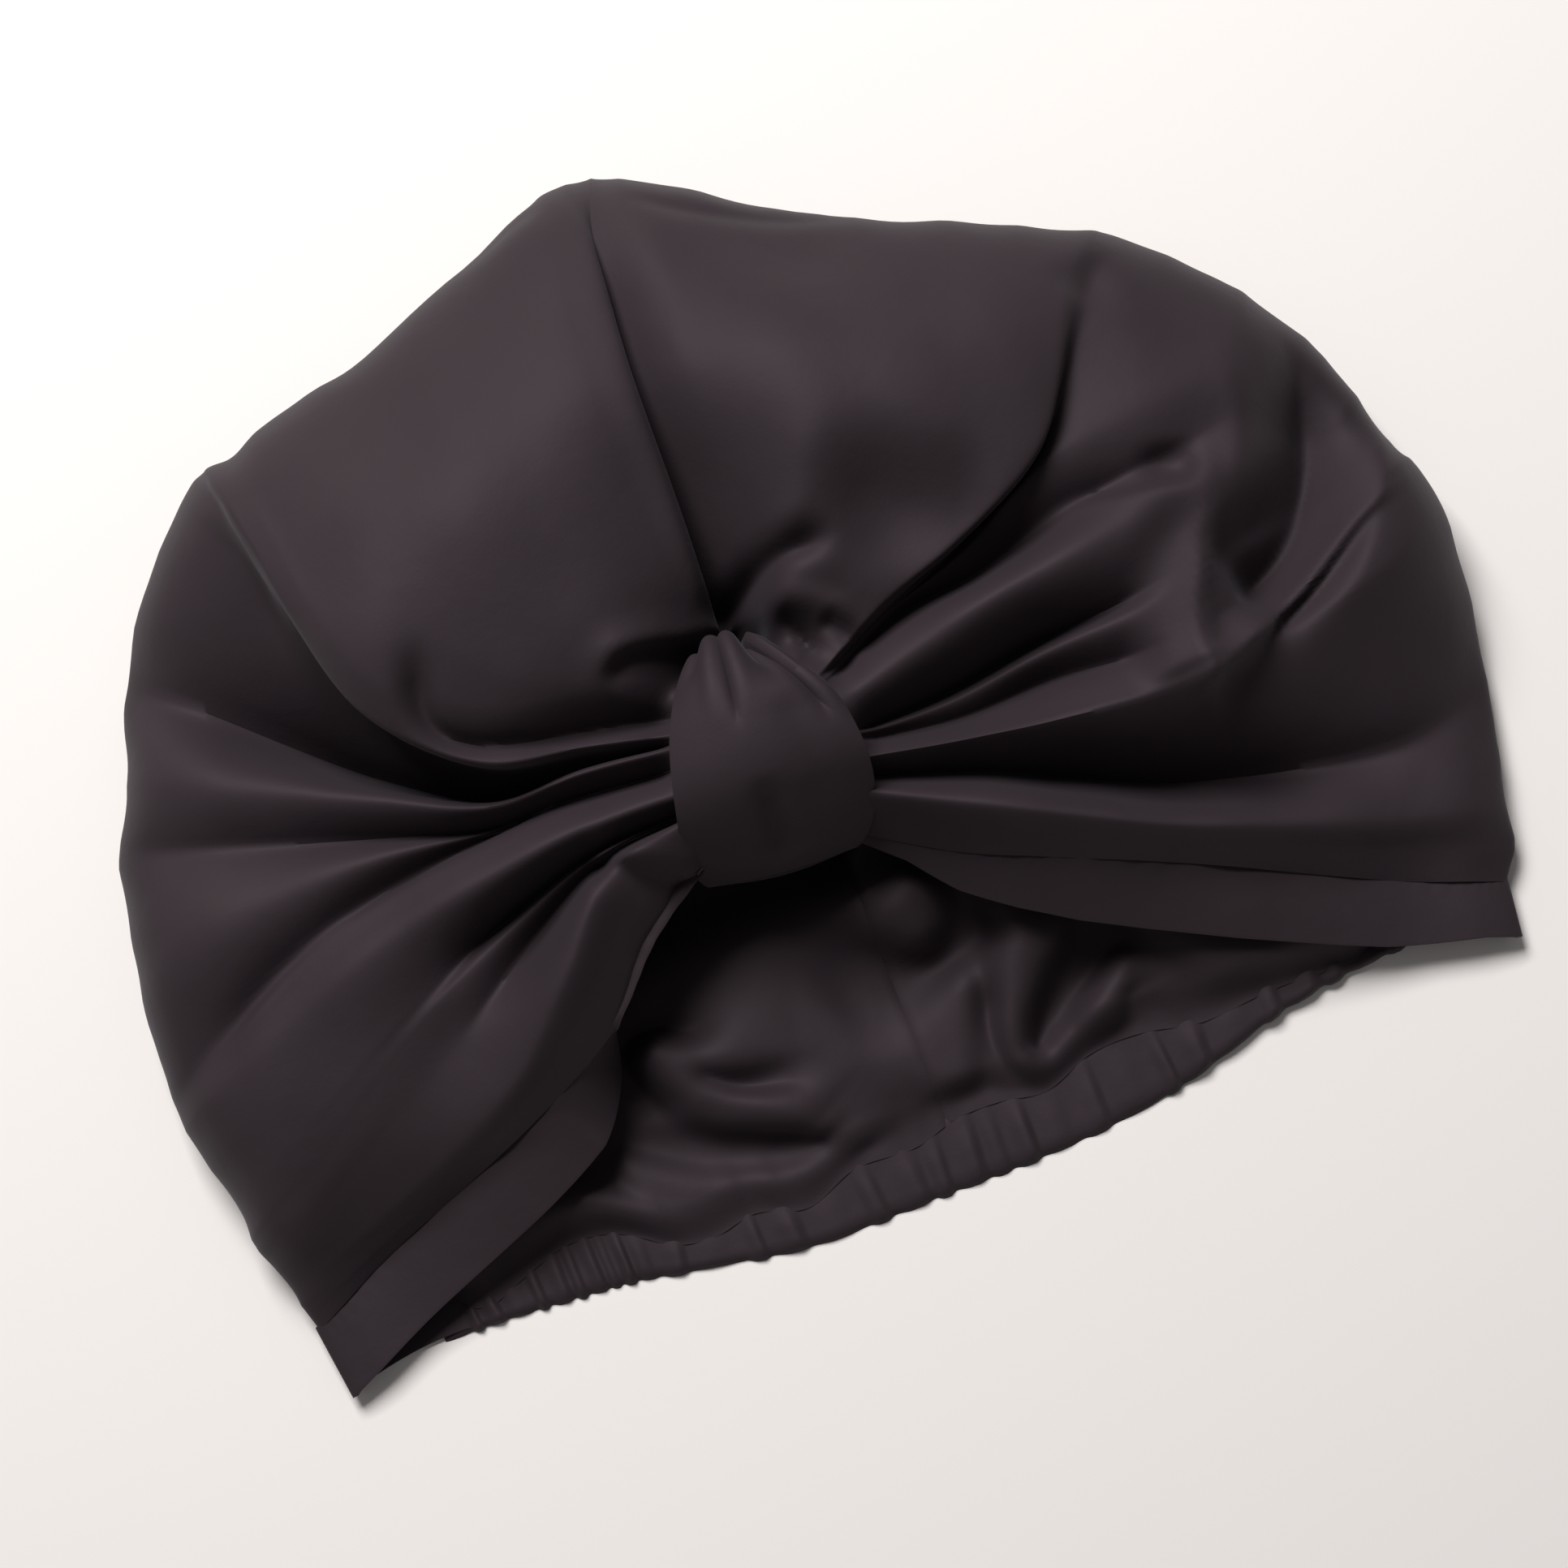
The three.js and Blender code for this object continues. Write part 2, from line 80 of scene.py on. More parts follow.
# Centre back seam: its x, the y of its top end, and the y where the hem's fold meets it.
BACK_X, BACK_TOP_Y, BACK_BOTTOM_Y = 8, 114, -79
HEM_TURN = 118
# Rows in each span between two points of a fold, and columns from the seam to the hem.
SPAN_ROWS = (16, 16, 22, 28, 12, 10, 5, 7, 24, 62)
COLUMNS = {"left": 228, "right": 224}
# Shares of a fold's way: where the front starts to fade, the side edge, where the front has ended, and the floor.
FRONT_FADE, EDGE_AT, FRONT_END, BACK_START = 0.56, 0.6, 0.64, 0.8
# Gathers bunched up inside the knot strip: their height, the share of the way that they take, and the turns between
# which they rise, with the turn over which they fade.
BUNCH_TOP, BUNCH_END, BUNCH_FROM, BUNCH_TO, BUNCH_FADE = 50.5, 0.035, 15, 85, 15
# A ridge is fully round once it stands this high; a valley's slopes are steepened by the pinch.
RIDGE_HEIGHT, VALLEY_PINCH = 4, 1.5
# Slight waves of the front, and upright creases in the side wall, which is given in shares of the way.
WAVE_HEIGHT, WAVE_LENGTHS = 0.25, (31, 23, 37)
WALL_FROM, WALL_RISE, WALL_FADE, WALL_TO = 0.4, 0.12, 0.62, 0.72
WALL_DENT, WALL_LENGTHS, CREASE_POWER, CREASE_MEAN = 0.6, (47, 29, 17), 0.6, 0.6
SOFTEN_ROUNDS, SOFTEN_SHARE = 2, 0.6
# The back panels billow up over a reach from their lower edge, and lie flat above the opening.
BACK_BILLOW, BILLOW_REACH, BACK_FLAT_FROM, BACK_FLAT_FADE, BACK_START_FADE = 3.8, 15, -12, 16, 0.03
BACK_EDGE_LIFT, BACK_EDGE_RISE, BACK_EDGE_FADE, BACK_EDGE_STEPS = 1.2, 1.6, 9, 60
BACK_SEAM_GROOVE = 0.6
# Their edge laps over the casing, whose pleats run on into them on a slant.
LAP_REACH, LAP_ENDS = 18, 12
GATHER_SLANT, GATHER_REACH = 0.12, 10

# turn: degrees from the seam at the knot, the three rings, the shoulder and the side edge.
# lift: height of the outer face at the knot, the three rings and the shoulder. reach: distance of the side edge.
# rise: how far the fold bows towards the crown half way along the back. crisp: 1 for a creased edge, 0 for a round one.
Fold = namedtuple("Fold", "name turn lift reach rise crisp", defaults=(0, 0))
SEAM = Fold("seam", (0, 0, 0.5, -0.5, -2.5, -4.5), (18, 31, 43, 51, 45), 138)
FOLDS = {
    "left": (
        Fold("seam_lip", (2, 0.5, -0.5, -0.8, -1.8, 0.3), (24, 45, 56, 60, 49), 138),
        Fold("seam_side", (8, 8, 7, 5.5, 3, 2), (28, 50, 59, 63, 50.5), 136),
        Fold("puff_crown", (20, 27, 32, 30, 26, 24), (36, 56, 64, 66, 53), 128),
        Fold("puff_outer", (30, 43, 49, 45, 36, 32), (42, 55, 61, 65, 53), 133.5),
        Fold("puff_lip", (36, 52, 60, 56, 42, 37), (45, 51, 57, 62, 52), 136),
        Fold("puff_edge", (43, 60.2, 66.6, 60.2, 43.8, 39), (48, 51, 55, 57, 49), 139.5, 0, 1),
        Fold("puff_tuck", (45, 62.2, 66.6, 58.8, 45.3, 44), (46, 44, 41, 40, 43), 142),
        Fold("tuck_valley", (46.5, 64.3, 71, 66.5, 61, 59), (43, 37, 17, 11, 20), 142),
        Fold("upper_ridge", (49, 67.5, 74.3, 71.3, 69, 68), (48, 48, 45, 43, 35), 138.5),
        Fold("upper_valley", (57, 73, 77.8, 76.5, 75, 74.3), (42, 38, 35, 34, 29), 140.5),
        Fold("side_face", (57.8, 73.6, 78.3, 80, 83, 85), (42.3, 38.5, 37.5, 40, 36), 141),
        Fold("side_crease", (58.6, 74.2, 79, 85, 92.5, 96), (41.5, 38, 35.5, 34, 28), 143.5, 0, 1),
        Fold("middle_ridge", (74.5, 83, 87, 90.8, 97, 99), (48, 48, 46, 39.5, 31), 144),
        Fold("middle_valley", (87, 89.5, 94, 99.5, 105, 107), (38, 32, 27, 33, 28.5), 144),
        Fold("lower_ridge", (88, 91, 96.3, 102, 108, 109), (40.5, 38, 33.5, 32.5, 26.5), 145),
        Fold("lower_valley", (89.5, 93, 100.5, 107.5, 111, 112), (40, 35, 27.5, 29.5, 23.5), 146),
        Fold("flap_ridge", (91.3, 99, 111, 117, 115.5, 114.5), (46, 46, 42, 30, 16), 147),
        Fold("flap", (105, 110, 118.5, 120, 117.3, 116.5), (41.5, 39, 34, 25.5, 11.5), 148.5),
        Fold("hem", (114, 119.5, 124.5, 122.5, 118.4, 118), (35, 31, 27, 21.5, 8.5), 149.5, -2),
    ),
    "right": (
        Fold("seam_side", (12, 11, 11, 9, 9, 9.5), (24, 41, 53, 60, 49), 133.5),
        Fold("puff_crown", (17, 23, 27, 27, 25, 24), (36, 54, 63, 64, 47), 124),
        Fold("puff_outer", (30, 40, 45, 46, 42, 40), (42, 53, 58, 62, 52), 128),
        Fold("puff_edge", (41, 52, 58.5, 59.8, 51.5, 50), (46, 51, 56, 57, 49), 136.5, 0, 1),
        Fold("puff_tuck", (43, 53.5, 58, 59.5, 54, 53), (44, 44, 44, 47.5, 45.5), 140),
        Fold("branch", (45, 54.7, 60.3, 62, 67, 63), (43.5, 43, 44.5, 50.5, 46), 145),
        Fold("tuck_valley", (47, 56, 65, 68.8, 72.5, 68), (43, 40, 39, 44.5, 44.5), 148),
        Fold("upper_ridge", (58, 69.3, 72.3, 75.6, 77, 74.5), (47, 51, 54, 53, 43), 150),
        Fold("upper_valley", (76, 83, 82.8, 84, 81.5, 79.5), (38, 32, 33, 45, 41), 150),
        Fold("thin_ridge", (78, 86.7, 85.8, 86.7, 84, 82.5), (41, 39, 42, 48, 40), 151),
        Fold("thin_valley", (80.5, 91.8, 90.5, 92, 87, 84.5), (39, 35, 35, 42, 38), 153.5),
        Fold("lower_ridge", (97, 99.9, 99.6, 98.2, 92, 88), (46, 47, 47.5, 46.5, 36), 155, 0, 0.8),
        Fold("lower_valley", (108, 107, 108.7, 110, 107, 102), (37, 29, 20, 14.5, 14), 154),
        Fold("skirt_ridge", (121, 118.5, 118, 117, 113.5, 111.5), (44, 45, 42, 34, 18), 155.5),
        Fold("skirt", (136, 126, 122.5, 119.8, 116.5, 115), (36, 35, 35.5, 29, 13), 157),
        Fold("hem", (152, 131.5, 126, 122, 119.2, 118), (28, 29, 30.5, 25, 9), 156.8, 0.5),
    ),
}

# Folds that cross the gathers. kind: a roll is round, a crease narrow, a fold wide with a sharp middle, a step is a
# wall, and a level draws the cloth to one height. width: how far it reaches to each side. height: of a roll (negative
# for a dent), of a level, or of the wall of a step, whose high side is to the left of the line's direction. lean: how
# far a step's high side leans over its low side. ends: shares of the line in which it starts and dies out. points: the
# line in plan.
STROKE_STEPS, STEP_HALF, LEAN_REACH, LEVEL_SPREAD = 8, 1.7, 4, 1.2
FALLOFF_POWER = {"crease": 2.2, "fold": 1.2}
Stroke = namedtuple("Stroke", "name kind width height lean ends points")
FRONT_STROKES = (
    Stroke("left_lip", "crease", 7, -6, 0, (0.2, 0),
           ((-57, 51), (-60.5, 44), (-62, 38), (-60.5, 32.5), (-55, 28), (-45, 25), (-30, 22.5), (-16, 19.5))),
    Stroke("left_comma", "step", 8, -8, 1, (0, 0.35),
           ((0, 33.5), (-7, 33), (-14, 34), (-21, 34), (-25.5, 30.5), (-24.5, 26))),
    Stroke("left_puff_rim", "step", 9, 5, 0.6, (0, 0.35),
           ((-88, 104), (-86, 95), (-84.3, 85), (-83, 77), (-81.8, 66), (-80.5, 57))),
    Stroke("left_side_crease", "step", 8, 4.5, 0.6, (0.25, 0.15),
           ((-19, 13), (-40, 12), (-54, 11), (-76, 9), (-97, 5), (-112, -1), (-130, -11))),
    Stroke("left_flap_hollow", "step", 10, 10, 0.6, (0.1, 0),
           ((-42, -1), (-36, -3.5), (-30, -7.5), (-24, -11.5))),
    Stroke("right_top_dimple", "roll", 9, -2, 0, (0.5, 0.4),
           ((99, 80), (97, 74), (92, 68))),
    Stroke("right_puff_dip", "roll", 18, -3.5, 0, (0.4, 0.2),
           ((28, 60), (34, 51), (41, 43), (50, 37.5), (62, 33))),
    Stroke("right_ridge_line", "step", 7, 3, 0, (0.05, 0.3),
           ((102, 26.5), (88, 28.5), (78, 30.5), (72, 30), (65, 27.7), (50, 22))),
    Stroke("right_ridge_dimple", "roll", 6, -4, 0, (0.15, 0.6),
           ((103, 28.5), (98, 30.5), (90, 32.5))),
    Stroke("right_plain", "level", 13, 49, 0, (0.3, 0.1),
           ((101, 24), (98, 17), (93, 9), (89, 1), (87, -5), (87, -12))),
    Stroke("right_cross_edge", "step", 10, -6, 0.3, (0.4, 0),
           ((107, 34), (105.5, 25.5), (102.5, 17), (98, 9), (94, 1.5), (92, -6), (91, -14))),
    Stroke("right_tongue_edge", "step", 15, 9, 1.0, (0, 0.75),
           ((90, -14), (98.5, -10.5), (110.5, -5), (119, -1), (126.5, 3.5), (134.5, 8), (143.5, 11), (152, 11.5))),
    Stroke("right_soft_valley", "fold", 16, -17, 0, (0.4, 0.12),
           ((133, 54), (132, 40), (128.5, 26), (123, 15.5), (115.5, 7.5), (107, 2.5), (99.5, -0.5))),
    Stroke("right_tip", "roll", 6, 2, 0, (0.6, 0),
           ((94, -6), (92, -11), (90.5, -15))),
    Stroke("right_curl", "crease", 7, -7, 0, (0, 0.3),
           ((1.5, 36.5), (7, 39), (12.5, 41), (18, 41.8), (23.5, 41.5), (29, 40.5))),
    Stroke("right_loop", "roll", 5, 2, 0, (0.25, 0.25),
           ((4.5, 33), (9, 33.7), (16, 32), (21.5, 28), (25, 22.5))),
    Stroke("right_loop_crease", "crease", 3.5, -4, 0, (0.3, 0),
           ((12, 32), (14.5, 27.5), (15.5, 22))),
    Stroke("right_loop_fold", "crease", 3.5, -4, 0, (0.3, 0),
           ((19.5, 27.5), (22, 24.5), (24, 21))),
    Stroke("top_left_rim", "crease", 4, -2, 0, (0.25, 0.25),
           ((-24, 124.5), (-12, 128), (-2, 131))),
    Stroke("top_right_rim", "crease", 5, -2, 0, (0.25, 0.25),
           ((12, 127), (27, 117), (42, 110), (60, 105.5))),
)

# Crests and hollows of the back panels inside the opening. line: places in plan with the height there. A line is
# rounded over, reaches so far, and outweighs the plain cloth up to so far from it.
FOLD_STEPS, FOLD_ROUND, FOLD_REACH, PLAIN_FROM = 6, 1.5, 22, 11
BackFold = namedtuple("BackFold", "name line")
BACK_FOLDS = (
    BackFold("beak", ((-44.5, -41, 13), (-38.5, -45.5, 13), (-31.5, -47.5, 12), (-24, -48.5, 10), (-15.5, -50.5, 8))),
    BackFold("beak_dent", ((-36, -50, 7), (-32.5, -53, 5.5), (-28, -55, 5), (-22.5, -55.5, 5.5), (-17, -55, 7))),
    BackFold("lip", (
        (-44.5, -41.5, 13), (-41.5, -46.5, 12.5), (-39, -50.5, 12), (-36, -53.5, 11.5), (-32.5, -56.5, 11),
        (-26.5, -60, 11), (-20, -64, 10), (-17.5, -67.5, 8))),
    BackFold("beak_foot", ((-36, -39, 6), (-43, -36.5, 3), (-50, -38, 1), (-51, -45, 1), (-49, -52, 0.5))),
    BackFold("hollow", (
        (-61, -53, 1), (-54, -58, 0), (-47, -62, 0), (-41, -65.5, 0), (-33.5, -68, 0), (-26.5, -70, 0),
        (-19, -71.5, 1))),
    BackFold("roll", (
        (-61, -61.5, 3.5), (-56, -66, 4), (-49.5, -71, 4), (-39.5, -75, 4), (-29, -78, 3.8), (-19.5, -78, 4),
        (-11.5, -73, 5.5))),
    BackFold("corner", ((-76, -58, 7), (-68, -67, 9), (-60, -77, 7))),
    BackFold("corner_dent", ((-70, -53, 3), (-65, -59, 1), (-61, -64, 3))),
    BackFold("arm_side", ((22.5, -52.5, 9), (20, -55, 8), (17.5, -59.5, 7.5), (14.5, -66.5, 7))),
    BackFold("arm_dent", ((24, -54, 5), (25, -57.5, 3.5), (24, -62, 3), (23.5, -67.5, 3), (24.5, -73, 3))),
    BackFold("arm", (
        (35.5, -39.5, 14), (37.5, -45, 14), (34, -50.5, 13), (30.5, -57, 12), (27.5, -63.5, 11), (27, -68.5, 10),
        (28.5, -72.5, 9), (32, -75, 8), (36, -75.5, 7.5))),
    BackFold("pit", ((56, -54, 3), (48, -59, 0.5), (41.5, -62, 0), (36.5, -65, 0), (32, -69, 0.5))),
    BackFold("patch_foot", ((4, -43, 3), (12, -45, 2), (21, -45, 2), (29, -42, 3))),
    BackFold("far_arm", ((55, -60.5, 8), (51.5, -63.5, 9), (47.5, -67.5, 9.5), (44.5, -71, 9.5), (40.5, -74.5, 9))),
    BackFold("far_pit", ((54.5, -67, 4), (54.5, -72, 2), (52, -75.5, 1), (47.5, -75.5, 1), (42.5, -77, 1.5))),
    BackFold("patch", ((12.5, -26, 15), (15, -31, 17.5), (16.5, -36, 15))),
    BackFold("right_rise", ((60, -49, 10), (72, -55, 12), (84, -62, 11), (97, -69, 8))),
    BackFold("gap_middle", ((-12, -78.5, 1), (-8.5, -78, 0.7), (-4, -79, 1))),
    BackFold("gap_right", ((10, -78, 1), (15, -77, 0.5), (20, -76, 0.5), (24.5, -78, 1))),
)

# Hem bands: how far they lie below the crown's edge, how far they tuck under it and stand out, and their end's width.
HEM_STEP, HEM_TUCK, HEM_OUT, HEM_END_WIDTH = 0.7, -1.2, 1.0, 9.5
HEM_ROWS, HEM_COLUMNS = 240, 20
# Which way a band lies: degrees from straight down towards the middle, at each tenth of its fold's way.
HEM_FALL = (36, 38, 38, 34, 18, 12, 8, 6, 3, 0, 0)
# How much of the back's way a band still follows, and the height above which it counts as on the front.
HEM_BACK_SHARE = {"left": 0.26, "right": 0.11}
HEM_FRONT_HEIGHT = 25
# The stitching puckers the band near its upper edge, and the band swells a little below it.
PUCKER_HEIGHT, PUCKER_PACE, STITCH_AT, STITCH_SPREAD, HEM_SWELL = 0.2, 230, 0.14, 0.1, 0.5
# A band's turn downwards and its width, by distance from the knot. There the left one hangs and the right one starts
# narrow.
HemBand = namedtuple("HemBand", "distance left_turn left_width right_turn right_width")
HEM_BANDS = (
    HemBand(20, 140, 9.5, 35, 1.5),
    HemBand(30, 138, 10.5, 34, 3.5),
    HemBand(42, 132, 12, 33, 8.5),
    HemBand(55, 108, 13.5, 32, 12),
    HemBand(68, 64, 14.5, 28, 13.8),
    HemBand(82, 24, 14.5, 22, 14.3),
    HemBand(100, 13, 14.5, 13, 14),
    HemBand(130, 10, 14.5, 10, 13.2),
    HemBand(150, 10, 14.5, 10, 11),
)

# Elastic casing: its thickness, also at its ends, how far the back panels lap over it, and its two ends.
CASING_THICKNESS, CASING_END_THICKNESS, CASING_END_REACH, CASING_LAP = 1.6, 0.6, 9, 6
CASING_LEFT_X, CASING_RIGHT_X = -108, 119
# lower: the casing's lower edge. fold: the edge of the back panels, which laps over it. rise: off the floor.
CasingEdge = namedtuple("CasingEdge", "x lower fold rise", defaults=(0,))
CASING_EDGE = (
    CasingEdge(-108, -82.2, -80),
    CasingEdge(-98, -82.3, -79),
    CasingEdge(-87, -83, -75),
    CasingEdge(-76, -84, -72),
    CasingEdge(-66, -85, -73.5),
    CasingEdge(-55, -87.2, -80.5),
    CasingEdge(-47, -88.6, -82),
    CasingEdge(-37, -90.6, -80.5),
    CasingEdge(-26, -92, -83.5),
    CasingEdge(-14, -92.2, -79.5),
    CasingEdge(0, -92, -80),
    CasingEdge(10, -92.2, -77.5),
    CasingEdge(20, -92.2, -77.5),
    CasingEdge(30, -92, -79),
    CasingEdge(42, -91.2, -75),
    CasingEdge(54, -89.6, -75, 0.6),
    CasingEdge(66, -86.8, -77.5, 1.4),
    CasingEdge(84, -81.8, -76.5, 1.8),
    CasingEdge(102, -79.3, -77.5, 1.2),
    CasingEdge(119, -78.6, -77.8, 0.4),
)
CASING_STEPS, CASING_TOP, CASING_FLOOR, CASING_LINE_STEPS = 700, 26, 5, 400
# Shares across the tube: its floor's two ends, how soon its top rises, and where the top rounds over to the lower edge.
FLOOR_FROM, FLOOR_TO, TOP_RISE, ROUND_FROM, ROUND_REACH = 0.04, 0.96, 0.3, 0.8, 0.2
# Pleats sway to and fro along the casing by these amounts, each over its own pace, and draw the lower edge up.
PLEAT_SWAYS = ((1.3, 11), (0.8, 4.7))
EDGE_DRAW, BULGE_STEEPNESS = 0.4, 1.3
# Pleats come round in this order: width along the elastic, height, how much more it rises to the right, how far the
# lower edge bulges and how far across it runs.
Pleat = namedtuple("Pleat", "width height tilt bulge run")
PLEATS = (
    Pleat(7, 0.8, 0.9, 0.5, 0.9),
    Pleat(11, 0.5, -1.5, 0.2, 0.6),
    Pleat(5, 0.8, 0.6, 0.6, 1),
    Pleat(9, 1, 1.6, 0.4, 0.8),
    Pleat(12, 0.5, -1.2, 0.3, 0.5),
    Pleat(6, 1.1, -1, 0.6, 0.7),
    Pleat(10, 0.7, 1.8, 0.5, 0.9),
    Pleat(5.5, 0.9, -0.6, 0.7, 0.7),
    Pleat(8, 0.8, 1.4, 0.4, 0.9),
    Pleat(5, 0.6, -0.8, 0.5, 1),
    Pleat(6.5, 1.1, 1, 0.6, 0.6),
    Pleat(9.5, 0.6, -1.7, 0.3, 0.9),
)
# The first pleat starts a little before the casing. At the left end, pleats are tight.
PLEAT_LEAD, TIGHT_END, TIGHT_SHARE = 4.0, 46, 0.55
# Shares of a pleat's width in which it rises and falls, and shares across: where a run fades, what is left of it, and
# how a pleat grows from the upper edge.
PLEAT_RISE, PLEAT_FALL_FROM, PLEAT_FALL = 0.6, 0.65, 0.35
RUN_FADE, RUN_LEFT, UPPER_HEIGHT, UPPER_FROM, UPPER_REACH = 0.3, 0.25, 0.3, 0.25, 0.4

# Knot strip: where the middle of its loop lies, its turn in degrees, and how far its front is crowned.
RING_X, RING_Y, RING_TURN, RING_CROWN = -3.2, 4.5, -6, 5.5
RING_ROWS, RING_COLUMNS = 220, 120
# The strip's way round the gathers: place along it towards the crown, height, and half widths to the left and right.
Strip = namedtuple("Strip", "at along height left right")
STRIP = (
    Strip("lower_end", -19, 25, 15.5, 15.5),
    Strip("lower_front", -14, 37, 18.8, 20.5),
    Strip("front", -3.5, 51, 17.6, 21.6),
    Strip("upper_front", 8, 54, 15, 18),
    Strip("upper_slope", 17.5, 52, 10.8, 11),
    Strip("upper_end", 23.5, 46, 6.5, 5.5),
    Strip("upper_back", 17, 33, 8, 8),
    Strip("back", 0, 22, 12, 12),
    Strip("lower_back", -13, 17, 13, 13),
)
# Folds along the strip. across: from -1 at its left edge to 1 at its right. start, full, stop: shares of the loop.
StripFold = namedtuple("StripFold", "name across spread height start full stop")
STRIP_FOLDS = (
    StripFold("left_gap", -0.72, 0.14, -2.4, 0.41, 0.51, 0.62),
    StripFold("first_ridge", -0.4, 0.13, 1.1, 0.3, 0.48, 0.62),
    StripFold("first_crease", -0.1, 0.08, -4.5, 0.31, 0.46, 0.62),
    StripFold("second_ridge", 0.1, 0.12, 0.9, 0.33, 0.48, 0.62),
    StripFold("hole", 0.5, 0.2, -6, 0.36, 0.5, 0.62),
    StripFold("lip_groove", 0.8, 0.08, -3.5, 0.27, 0.42, 0.6),
    StripFold("lip", 0.95, 0.05, 1.5, 0.25, 0.4, 0.6),
    StripFold("middle_dent", 0.0, 0.16, -2.2, 0.04, 0.14, 0.2),
    StripFold("side_dent", 0.5, 0.2, -0.6, 0.14, 0.22, 0.32),
)
STRIP_FOLD_FADE = 0.05

# Walls of the doubled cloth and the width of its folded edges, in metres, and the angle below which faces look smooth.
HEM_WALL, RING_WALL, FOLD_EDGE, EDGE_SEGMENTS = 0.0013, 0.0014, 0.0005, 3
SMOOTH_ANGLE = math.radians(60)

# Pattern cells in a metre: the tone drifts over about 22 mm and the cloth dimples over about 9 mm. The rib of the weave
# is 0.7 mm, coarser than real threads, which no view would show.
TONE_CELLS, DIMPLE_CELLS, RIB_CELLS = 45, 110, 1400

# Stage: the view's middle is near the front of the knot, moved across the picture, and is then taken down the view to
# where the bonnet lies. The window light stands above, left of and in front of it in the picture. Metres, apart from
# the aim's height.
AIM_HEIGHT, AIM_RIGHT, AIM_DOWN, LIE_HEIGHT = 58, 0.00097, 0.0026, 0.004
LIGHT_UP, LIGHT_LEFT, LIGHT_BACK, LIGHT_SIZE = 0.86, 0.45, 1.06, 0.6
FLOOR_SIZE, FLOOR_ROUGHNESS = 6, 0.9


def blend(a, b, share):
    """Between a, at a share of 0, and b, at 1."""
    return a + (b - a) * share


def smooth(value):
    """0 below 0, 1 above 1 and an even rise between."""
    value = np.clip(value, 0.0, 1.0)
    return value * value * (3 - 2 * value)


def spline(points, places, closed=False):
    """Points on a smooth centripetal curve through points (count, ..., axes), at places from 0 to 1."""
    points = np.asarray(points, float)
    count = len(points)
    if closed:
        padded = np.concatenate([points[-1:], points, points[:2]])
        spans = count
    else:
        first, last = 2 * points[0] - points[1], 2 * points[-1] - points[-2]
        padded = np.concatenate([first[None], points, last[None]])
        spans = count - 1
    at = np.clip(np.asarray(places, float), 0, 1) * spans
    span = np.minimum(at.astype(int), spans - 1)
    p0, p1, p2, p3 = (padded[span + k] for k in range(4))
    step = [np.linalg.norm(b - a, axis=-1, keepdims=True) ** 0.5 for a, b in ((p0, p1), (p1, p2), (p2, p3))]
    d1 = np.where(step[1] < NO_STEP, 1.0, step[1])
    d0, d2 = (np.where(beside < NO_STEP, d1, beside) for beside in (step[0], step[2]))
    leave = ((p1 - p0) / d0 - (p2 - p0) / (d0 + d1) + (p2 - p1) / d1) * d1
    arrive = ((p2 - p1) / d1 - (p3 - p1) / (d1 + d2) + (p3 - p2) / d2) * d1
    t = (at - span).reshape((-1,) + (1,) * (points.ndim - 1))
    cubic, square = 2 * p1 - 2 * p2 + leave + arrive, -3 * p1 + 3 * p2 - 2 * leave - arrive
    return p1 + t * (leave + t * (square + t * cubic))


def from_knot(sign, turn, distance, height):
    """A point at so many degrees from the crown's top, as seen from the knot, and so far from it."""
    angle = math.radians(turn)
    return np.array([sign * distance * math.sin(angle), distance * math.cos(angle), height])


def fold_line(sign, fold):
    """Points of one fold from the knot, over its side edge and along the floor to the centre back."""
    knot_turn, shoulder_turn, edge_turn = fold.turn[0], fold.turn[4], fold.turn[5]
    knot_radius = blend(KNOT_RADIUS_SIDE, KNOT_RADIUS_TOP, max(0.0, math.cos(math.radians(knot_turn))) ** 2)
    shoulder_lift = fold.lift[4]
    edge = EDGE_BASE + EDGE_SHARE * shoulder_lift
    brow_turn = (shoulder_turn + 2 * edge_turn) / 3
    rounding = 1 - math.sqrt(0.5)
    back_y = blend(BACK_TOP_Y, BACK_BOTTOM_Y, max(0.0, edge_turn) / HEM_TURN)
    back_seam = np.array([BACK_X, back_y, 0.0])
    floor_start = from_knot(sign, edge_turn, fold.reach - edge, 0)
    return [
        from_knot(sign, knot_turn, knot_radius, fold.lift[0]),
        *(from_knot(sign, fold.turn[i + 1], radius, fold.lift[i + 1]) for i, radius in enumerate(RING_RADII)),
        from_knot(sign, shoulder_turn, SHOULDER_SHARE * fold.reach, shoulder_lift),
        from_knot(sign, brow_turn, BROW_SHARE * fold.reach, blend(edge, shoulder_lift, BROW_LIFT)),
        from_knot(sign, edge_turn, fold.reach, edge),
        from_knot(sign, edge_turn, fold.reach - rounding * edge, rounding * edge),
        floor_start,
        (floor_start + back_seam) / 2 + np.array([0, fold.rise, 0]),
        back_seam,
    ]


def row_places(span_rows):
    """Places from 0 to 1 along a fold, with each span's own number of rows."""
    spans = len(span_rows)
    return np.array([0.0] + [(s + (i + 1) / n) / spans for s, n in enumerate(span_rows) for i in range(n)])


